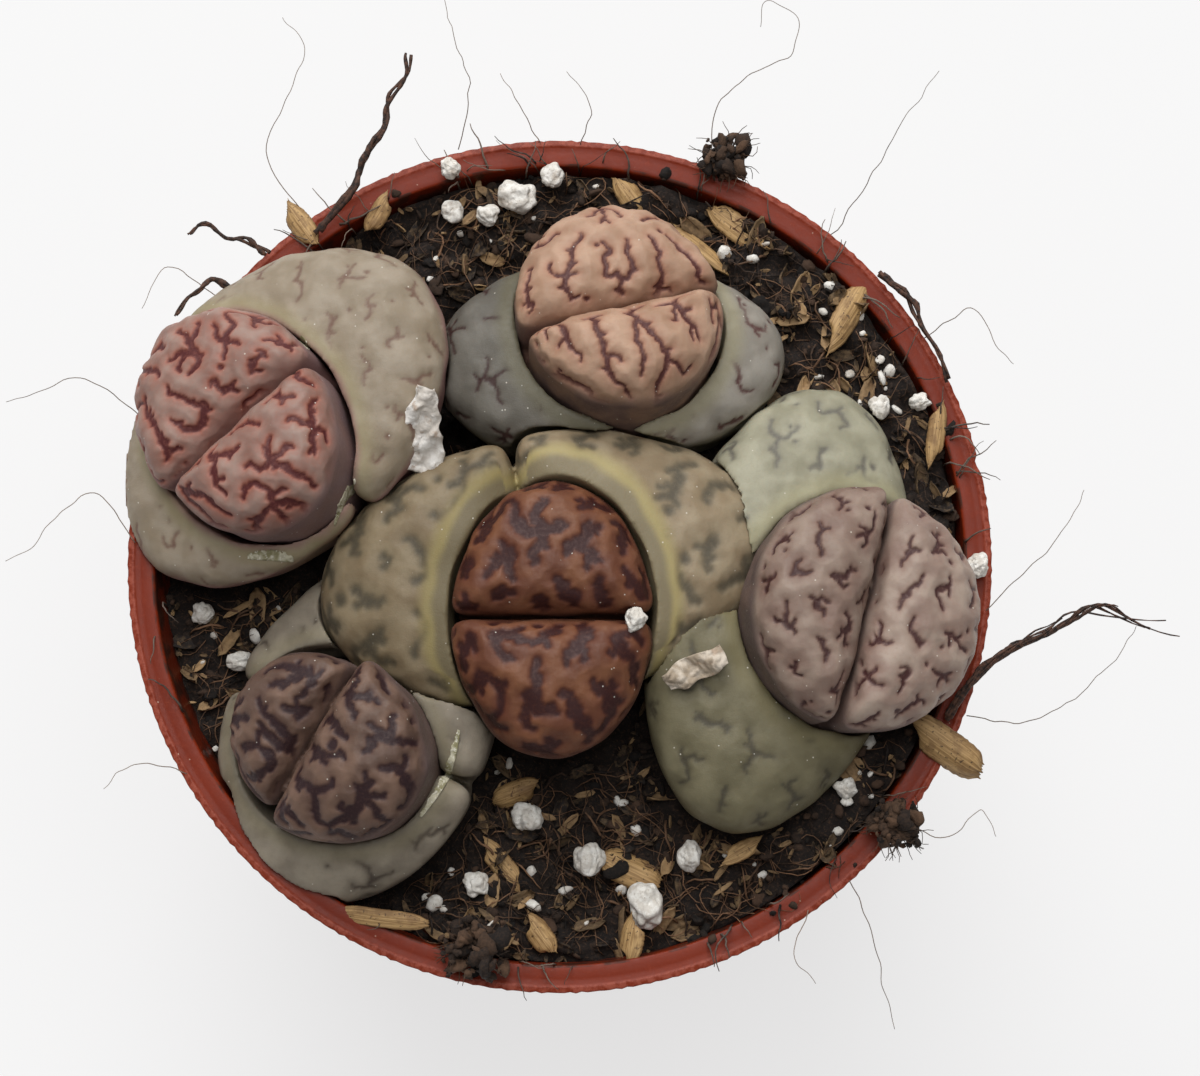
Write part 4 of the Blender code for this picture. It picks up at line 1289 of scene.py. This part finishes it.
def husk_mesh(length, width, rng, thickness=0.2):
    """A curved strip of husk with torn slanting ends: points, faces and (along, across, edge)."""
    rows, columns = 30, 16
    hollow = rng.uniform(0.10, 0.30)
    slants = rng.uniform(-1.1, 1.1, 2)
    tip = rng.uniform(2.5, 6.0)
    torn = rng.uniform(-1, 1, (2, columns + 1))
    frayed = rng.uniform(-1, 1, (2, rows + 1))
    points, marks = [], []
    for side in (1, -1):
        for i in range(rows + 1):
            for j in range(columns + 1):
                u, v = i / rows * 2 - 1, j / columns * 2 - 1
                end = int(u > 0)
                narrow = max(0.25, 1 - abs(u) ** tip) ** 0.7
                edge = 0.035 * frayed[int(v > 0)][i] * abs(v) ** 3
                x = u * length / 2 + abs(u) ** 3 * (slants[end] * v * width / 2 + 0.05 * width * torn[end][j])
                y = v * width / 2 * (narrow + edge)
                rib = 0.025 * math.cos(v * math.pi * 5) * narrow
                sag = -0.05 * length * u * u * rng_phase(length)
                z = hollow * width * narrow * (1 - v * v) + rib + sag + (side - 1) / 2 * thickness
                points.append((x, y, z))
                marks.append(((u + 1) / 2, (v + 1) / 2, max(abs(v), abs(u)) ** 8, 1.0))
    return sheet_solid(points, rows, columns, marks)


def sheet_solid(points, rows, columns, marks=None):
    """Faces of a closed sheet whose upper and lower grids of points follow each other."""
    grid = (rows + 1) * (columns + 1)
    at = lambda i, j: i * (columns + 1) + j
    faces = []
    for i in range(rows):
        for j in range(columns):
            quad = (at(i, j), at(i + 1, j), at(i + 1, j + 1), at(i, j + 1))
            faces += [quad, tuple(grid + index for index in reversed(quad))]
    border = [at(0, j) for j in range(columns)] + [at(i, columns) for i in range(rows)]
    border += [at(rows, j) for j in range(columns, 0, -1)] + [at(i, 0) for i in range(rows, 0, -1)]
    for k, here in enumerate(border):
        there = border[(k + 1) % len(border)]
        faces.append((here, there, grid + there, grid + here))
    return np.array(points), faces, None if marks is None else np.array(marks)


def rng_phase(value):
    return math.sin(value * 12.7)


def make_husks(ground):
    material = husk_material()
    for i, (node, (length, width, heading)) in enumerate(HUSK_SHAPES.items()):
        rng = np.random.default_rng(100 + i)
        centre = node_box(node)[0] + HUSK_SHIFTS.get(node, (0.0, 0.0, 0.0))
        points, faces, marks = husk_mesh(length * 1.05, width, rng)
        tilt, roll = rng.normal(0, 0.12), rng.normal(0, 0.30)
        points = lay(points, centre[0], centre[1], centre[2] - 0.2, math.radians(heading), tilt, roll)
        piece = mesh_object(f"{node}_shell", points, faces)
        add_marks(piece.data, "shades", marks)
        place_piece(piece, material, "husk", node)


ROOT_ROUTES = {  # route, thickness at the root and at the tip, number of strands, how far strands part
    "black_twig": (((-24.0, 32.6, 66.4), (-21.9, 34.9, 67.2), (-20.0, 37.5, 68.0), (-19.2, 40.1, 68.4),
                    (-17.2, 42.6, 68.9), (-16.8, 45.2, 69.4), (-15.4, 47.4, 69.8), (-14.9, 49.6, 70.2)),
                   0.34, 0.16, 2, 0.34),
    "wiry_root_left": (((-28.8, 30.0, 67.0), (-30.6, 31.4, 67.0), (-32.6, 31.8, 67.3), (-34.8, 32.9, 67.6),
                        (-36.6, 32.2, 67.4)), 0.26, 0.12, 2, 0.3),
    "wiry_root_side": (((-32.6, 26.8, 66.6), (-34.4, 27.6, 66.9), (-36.2, 26.0, 67.2), (-37.8, 23.8, 67.0)),
                       0.28, 0.12, 2, 0.3),
    "root_on_rim": (((31.6, 28.4, 66.3), (34.6, 25.6, 66.3), (36.4, 21.8, 66.3), (38.2, 17.4, 66.3)),
                    0.24, 0.14, 3, 0.5),
    "root_bundle": (((37.6, -15.8, 66.5), (39.8, -12.6, 67.0), (43.2, -9.6, 67.6), (47.6, -7.4, 68.2),
                     (52.0, -5.6, 68.6), (56.4, -6.4, 68.4), (60.2, -7.6, 68.0)), 0.20, 0.06, 16, 1.0),
}


def smooth_route(points, steps):
    """More points along a Catmull-Rom curve through these points."""
    points = np.asarray(points, float)
    padded = np.vstack([2 * points[0] - points[1], points, 2 * points[-1] - points[-2]])
    route = []
    for i in range(1, len(padded) - 2):
        a, b, c, d = padded[i - 1 : i + 3]
        for t in np.arange(steps) / steps:
            route.append(0.5 * (2 * b + (c - a) * t + (2 * a - 5 * b + 4 * c - d) * t**2 + (3 * b - a - 3 * c + d) * t**3))
    route.append(padded[-2])
    return np.array(route)


def root_material():
    n = Nodes("dark_root")
    fine = n.noise(0.5, detail=4.0, rough=0.65)
    base = n.mix(n.remap(fine, 0.35, 0.7), linear((34, 24, 20)), linear((98, 66, 50)))
    return n.finish(base, 0.75, n.bump(fine, 0.10, 0.7))


def make_roots():
    material = root_material()
    for index, (node, (points, thick, thin, strands, part)) in enumerate(ROOT_ROUTES.items()):
        rng = np.random.default_rng(200 + index)
        heap = Heap()
        middle = smooth_route(points, 6)
        share = np.linspace(0, 1, len(middle))
        for strand in range(strands):
            turns = rng.uniform(1.5, 3.0) * 2 * math.pi * share + 2 * math.pi * strand / strands
            splay = part * (0.35 + 1.4 * share**2 if strands > 3 else np.ones(len(share)))
            side = np.stack([np.cos(turns), np.sin(turns), 0.6 * np.sin(turns + 1)], 1) * splay[:, None]
            end = int(len(middle) * (rng.uniform(0.45, 1.0) if strands > 3 else 1.0))
            wander = np.stack([waves(middle, 4.0, 300 + 10 * index + strand + 77 * k) for k in range(3)], 1)
            route = (middle + side * 0.5 + 0.16 * wander)[: max(end, 6)]
            radii = np.linspace(thick, thin, len(route)) * (1 + 0.25 * waves(route, 1.2, 400 + strand))
            heap.add(*tube(route, radii, 7), (0.5, 0, 0))
        place_piece(heap.build(f"{node}_strands"), material, "root", node)


DRY_SKIN_SHAPES = {  # length, width, heading and tilt in degrees
    "dry_skin_wedge": (8.6, 6.4, 78.0, 30.0),
    "dry_skin_right": (6.2, 2.6, 25.0, 8.0),
}


DRY_SKIN_SHIFTS = {"dry_skin_right": (-0.2, 1.9, 0.6), "dry_skin_wedge": (-0.2, 0.6, 0.2)}  # up to the edge of the leaf that shed it


def dry_skin_material(name, dark, pale):
    n = Nodes(name)
    fine, folds = n.noise(0.4, detail=4.0), n.noise(1.5, detail=4.0)
    base = n.mix(n.remap(folds, 0.4, 0.62), linear(dark), linear(pale))
    brown = n.mix(n.remap(n.noise(1.1, detail=3.0), 0.60, 0.70, 0.0, 0.6), base, linear((170, 142, 118)))
    return n.finish(brown, 0.8, n.bump(fine, 0.15, 0.8))


def make_dry_skins():
    papery = dry_skin_material("papery_dry_skin", (206, 198, 188), (238, 234, 228))
    crumbly = dry_skin_material("crumbly_dry_skin", (168, 152, 132), (212, 200, 184))
    for index, (node, (length, width, heading, tilt)) in enumerate(DRY_SKIN_SHAPES.items()):
        rng = np.random.default_rng(500 + index)
        centre, _ = node_box(node)
        rows, columns = 40, 22
        grid = []
        for i in range(rows + 1):
            for j in range(columns + 1):
                u, v = i / rows, j / columns * 2 - 1
                narrow = (1 - 0.72 * u) if index == 0 else (0.5 + 0.5 * math.sin(math.pi * (0.15 + 0.7 * u)))
                grid.append(((u - 0.5) * length, v * width / 2 * narrow, 0.0))
        grid = np.array(grid)
        crumple = np.stack([waves(grid, 2.2, 510 + index * 9 + k) for k in range(3)], 1) * (0.14, 0.18, 0.30)
        crease = 0.22 * np.abs(waves(grid, 1.1, 530 + index))
        top = grid + crumple
        top[:, 2] += crease - 0.10 * grid[:, 1] ** 2
        low = top.copy()
        low[:, 2] -= 0.22
        points, faces, _ = sheet_solid(np.vstack([top, low]), rows, columns)
        centre = centre + DRY_SKIN_SHIFTS.get(node, (0.0, 0.0, 0.0))
        points = lay(points, *centre, math.radians(heading), -math.radians(tilt), rng.uniform(-0.2, 0.2))
        material = papery if node == "dry_skin_wedge" else crumbly
        place_piece(mesh_object(f"{node}_paper", points, faces), material, "dry_skin", node)


FRAYED_EDGES = {  # x, y, length, width, heading and bow of torn skin left along the edge of an old leaf
    "front_old_frayed_edge": (-11.4, -21.7, 9.0, 0.85, 66.0, -0.06),
    "left_old_frayed_edge": (-27.8, -0.9, 4.4, 1.1, -3.0, 0.06),
    "left_new_torn_curl": (-24.6, 19.6, 1.6, 0.8, 120.0, 0.06),
    "left_old_torn_seam": (-20.3, 4.4, 5.4, 0.55, 62.0, 0.06),
}


def frayed_material():
    n = Nodes("torn_leaf_skin")
    fine, folds = n.noise(0.35, detail=4.0), n.noise(1.2, detail=3.0)
    base = n.mix(n.remap(folds, 0.40, 0.60), linear((134, 128, 92)), linear((196, 190, 166)))
    white = n.mix(n.remap(fine, 0.54, 0.66, 0.0, 0.8), base, linear((226, 222, 206)))
    return n.finish(white, 0.75, n.bump(fine, 0.12, 0.8))


def make_frayed_edges(ground):
    """Torn strips that follow the leaf below them, with a ragged free edge."""
    material = frayed_material()
    slots = {row["node"]: row["material_slot"] for row in frame["record"]["subparts"]}
    for index, (name, (x, y, length, width, heading, bow)) in enumerate(FRAYED_EDGES.items()):
        rng = np.random.default_rng(700 + index)
        turn = math.radians(heading)
        rows, columns = 48, 8
        torn = rng.uniform(0.4, 1.0, rows + 1)
        top = []
        for i in range(rows + 1):
            for j in range(columns + 1):
                u, v = (i / rows - 0.5) * length, (j / columns - 0.5) * width
                narrow = math.sin(math.pi * (0.04 + 0.92 * i / rows)) ** 0.5 * (torn[i] if v > 0 else 1.0)
                side = v * narrow + bow * length * math.sin(math.pi * i / rows)
                spot_x = x + u * math.cos(turn) - side * math.sin(turn)
                spot_y = y + u * math.sin(turn) + side * math.cos(turn)
                found = ground.under(spot_x, spot_y)
                top.append((spot_x, spot_y, (found[1] if found else POT_HEIGHT) + 0.12))
        top = np.array(top)
        top[:, 2] = np.minimum(top[:, 2], np.median(top[:, 2]) + 0.8)
        top[:, 2] += 0.10 * np.abs(waves(top, 1.4, 710 + index)) + 0.05 * waves(top, 0.6, 720 + index)
        low = top - (0, 0, 0.25)
        points, faces, _ = sheet_solid(np.vstack([top, low]), rows, columns)
        node = "_".join(name.split("_")[:2]) + "_leaves"
        place_piece(mesh_object(name, points, faces), material, slots[node])


def make_clods(ground):
    """Each clod is a knot of crumbs with fibres sticking out of it."""
    crumb = tinted_material("clod_crumbs", (26, 18, 14), (92, 68, 50), 0.92)
    for index, node in enumerate(("clod_back", "clod_right", "clod_front")):
        rng = np.random.default_rng(600 + index)
        centre, size = node_box(node)
        heap = Heap()
        for _ in range(150):
            place = np.clip(rng.normal(0, 0.24, 3), -0.45, 0.45) * size
            points, faces = lump(rng, 0.20 + 0.70 * rng.uniform(0, 1) ** 2.4, 2, 0.5, 0.9)
            heap.add(points + centre + place * (1, 1, 0.8), faces, (rng.uniform(0, 1) ** 1.5, 0, 0))
        for _ in range(26):
            turn, rise = rng.uniform(0, 6.3), rng.uniform(-0.2, 0.9)
            route = [centre.copy()]
            for _ in range(7):
                turn += rng.normal(0, 0.4)
                route.append(route[-1] + 0.55 * np.array((math.cos(turn), math.sin(turn), 0.4 * rise)))
            heap.add(*tube(route, np.linspace(0.08, 0.03, 8), 4), (rng.uniform(0.2, 0.9), 0, 0))
        place_piece(heap.build(f"{node}_crumbs"), crumb, "compost", node)


HAIR_ROUTES = (  # where a hair leaves the rim, and the spots it passes outside the pot
    ((-41.0, 14.0), (-46.5, 17.5), (-51.0, 15.8), (-54.3, 15.2)),
    ((-41.5, 1.5), (-45.0, 6.0), (-48.5, 4.0), (-51.5, 0.5), (-54.0, -0.5)),
    ((-25.0, 34.0), (-29.0, 40.0), (-27.0, 46.0), (-25.5, 51.0), (-27.5, 54.5)),
    ((-10.0, 41.5), (-9.0, 47.0), (-10.5, 52.0), (-11.8, 58.0)),
    ((-2.0, 41.8), (-4.5, 46.0), (-6.0, 48.5)),
    ((2.0, 41.8), (3.0, 45.0), (0.8, 48.8)),
    ((15.0, 39.5), (15.5, 45.0), (19.0, 48.5), (23.0, 50.5), (23.5, 54.0), (20.5, 55.8), (20.0, 53.5)),
    ((27.0, 32.5), (31.0, 38.5), (34.0, 43.5), (37.5, 48.5)),
    ((36.0, 22.0), (40.5, 24.5), (43.0, 20.5), (44.5, 19.0)),
    ((41.5, -5.0), (46.0, -1.0), (49.5, 3.0), (51.2, 6.5)),
    ((39.5, -15.5), (45.0, -16.5), (50.0, -14.0), (54.5, -9.5), (56.0, -7.0)),
    ((28.0, -31.5), (30.0, -37.0), (31.0, -42.0), (32.0, -46.0)),
    ((24.0, -34.5), (22.5, -38.5), (24.5, -41.5)),
    ((33.0, -26.0), (37.5, -27.5), (40.5, -25.0), (42.0, -27.5)),
    ((-36.0, -21.0), (-41.0, -20.5), (-44.0, -23.0)),
    ((-33.5, 26.0), (-38.5, 28.5), (-41.0, 24.5)),
)
RIM_FIBRES = 90


def make_stray_hairs(ground):
    """Long fine hairs that stand out over the rim, and short dark fibres lying across it."""
    rng = np.random.default_rng(77)
    heap = Heap()
    for index, route in enumerate(HAIR_ROUTES):
        heights = 66.2 + 1.6 * np.sin(np.linspace(0, 2.4, len(route))) + rng.normal(0, 0.3, len(route))
        heights[0] = 65.2
        line = smooth_route([(x, y, z) for (x, y), z in zip(route, heights)], 10)
        line = line + 0.12 * np.stack([waves(line, 2.5, 800 + 5 * index + k) for k in range(3)], 1)
        heap.add(*tube(line, np.linspace(0.055, 0.03, len(line)), 5), (rng.uniform(0.5, 1.0), 0, 0))
    for _ in range(RIM_FIBRES):
        turn = rng.choice([rng.uniform(0, 2 * math.pi), rng.uniform(-0.9, 0.9), rng.uniform(1.2, 2.6)])
        start = np.array((math.cos(turn), math.sin(turn))) * rng.uniform(38.8, 40.2)
        heading = turn + rng.normal(0, 0.9)
        found = ground.under(*start)
        if found is None or found[0] == "leaf":
            continue
        route, height = [(*start, found[1] + 0.1)], max(found[1], 65.0) + 0.25
        length, spot = rng.uniform(1.5, 5.5), start
        for step in range(1, 9):
            heading += rng.normal(0, 0.22)
            spot = spot + length / 8 * np.array((math.cos(heading), math.sin(heading)))
            route.append((*spot, height + 0.9 * math.sin(step / 8 * 2.2)))
        heap.add(*tube(route, np.linspace(0.11, 0.04, 9) * rng.uniform(0.5, 1.3), 5), (rng.uniform(0, 0.7), 0, 0))
    material = tinted_material("stray_hairs", (26, 17, 14), (140, 122, 108), 0.75, 0.6, 0.03)
    place_piece(heap.build("stray_hairs"), material, "compost")


# ---------------------------------------------------------------- studio

def make_stage():
    mesh = bpy.data.meshes.new("floor")
    half = 1.5
    mesh.from_pydata([(-half, -half, 0), (half, -half, 0), (half, half, 0), (-half, half, 0)], [], [(0, 1, 2, 3)])
    floor = bpy.data.objects.new("floor", mesh)
    bpy.context.scene.collection.objects.link(floor)
    n = Nodes("floor_white")
    n.shader.inputs["Emission Color"].default_value = (1, 1, 1, 1)
    n.shader.inputs["Emission Strength"].default_value = 0.70
    mesh.materials.append(n.finish((0.22, 0.22, 0.22, 1.0), 0.95))


def add_light(name, place, size, power, colour=(1, 1, 1)):
    data = bpy.data.lights.new(name, "AREA")
    data.shape = "DISK"
    data.size = size
    data.energy = power
    data.color = colour
    light = bpy.data.objects.new(name, data)
    light.location = place
    aim = Vector((0, 0, POT_HEIGHT * MM)) - Vector(place)
    light.rotation_euler = aim.to_track_quat("-Z", "Y").to_euler()
    bpy.context.scene.collection.objects.link(light)


def make_lights():
    add_light("key", (-0.15, 0.85, 0.80), 0.8, 9.3)
    add_light("top", (0.05, 0.25, 1.30), 0.9, 7.3)
    world = bpy.data.worlds.new("studio")
    bpy.context.scene.world = world
    world.use_nodes = True
    tree = world.node_tree
    soft = tree.nodes["Background"]
    soft.inputs[0].default_value = (1, 1, 1, 1)
    soft.inputs[1].default_value = 0.20
    seen = tree.nodes.new("ShaderNodeBackground")
    seen.inputs[0].default_value = (0.92, 0.92, 0.92, 1)
    path, pick = tree.nodes.new("ShaderNodeLightPath"), tree.nodes.new("ShaderNodeMixShader")
    tree.links.new(path.outputs["Is Camera Ray"], pick.inputs[0])
    tree.links.new(soft.outputs[0], pick.inputs[1])
    tree.links.new(seen.outputs[0], pick.inputs[2])
    tree.links.new(pick.outputs[0], tree.nodes["World Output"].inputs["Surface"])


def make_camera():
    """Looks down on the pot from 80 degrees above the horizon, 400 mm from its rim."""
    elevation = math.radians(80)
    target = Vector((3.96, 2.05, POT_HEIGHT)) * MM
    back = Vector((0.0, -math.cos(elevation), math.sin(elevation)))
    data = bpy.data.cameras.new("camera")
    data.lens = 122.6
    data.sensor_width = 36.0
    data.clip_start, data.clip_end = 0.01, 10.0
    camera = bpy.data.objects.new("camera", data)
    camera.location = target + back * 400 * MM
    camera.rotation_euler = (-back).to_track_quat("-Z", "Y").to_euler()
    bpy.context.scene.collection.objects.link(camera)
    bpy.context.scene.camera = camera


make_camera()
make_lights()
make_stage()
bpy.context.scene.view_settings.view_transform = "Standard"
leaf_skins = make_leaves()
pot = make_pot()
compost = make_compost()
ground = Ground(compost, pot, leaf_skins)
make_crumbs(ground)
make_fibres(ground)
make_flakes(ground)
make_perlite(ground)
make_husks(ground)
make_roots()
make_dry_skins()
make_frayed_edges(ground)
make_clods(ground)
make_stray_hairs(ground)
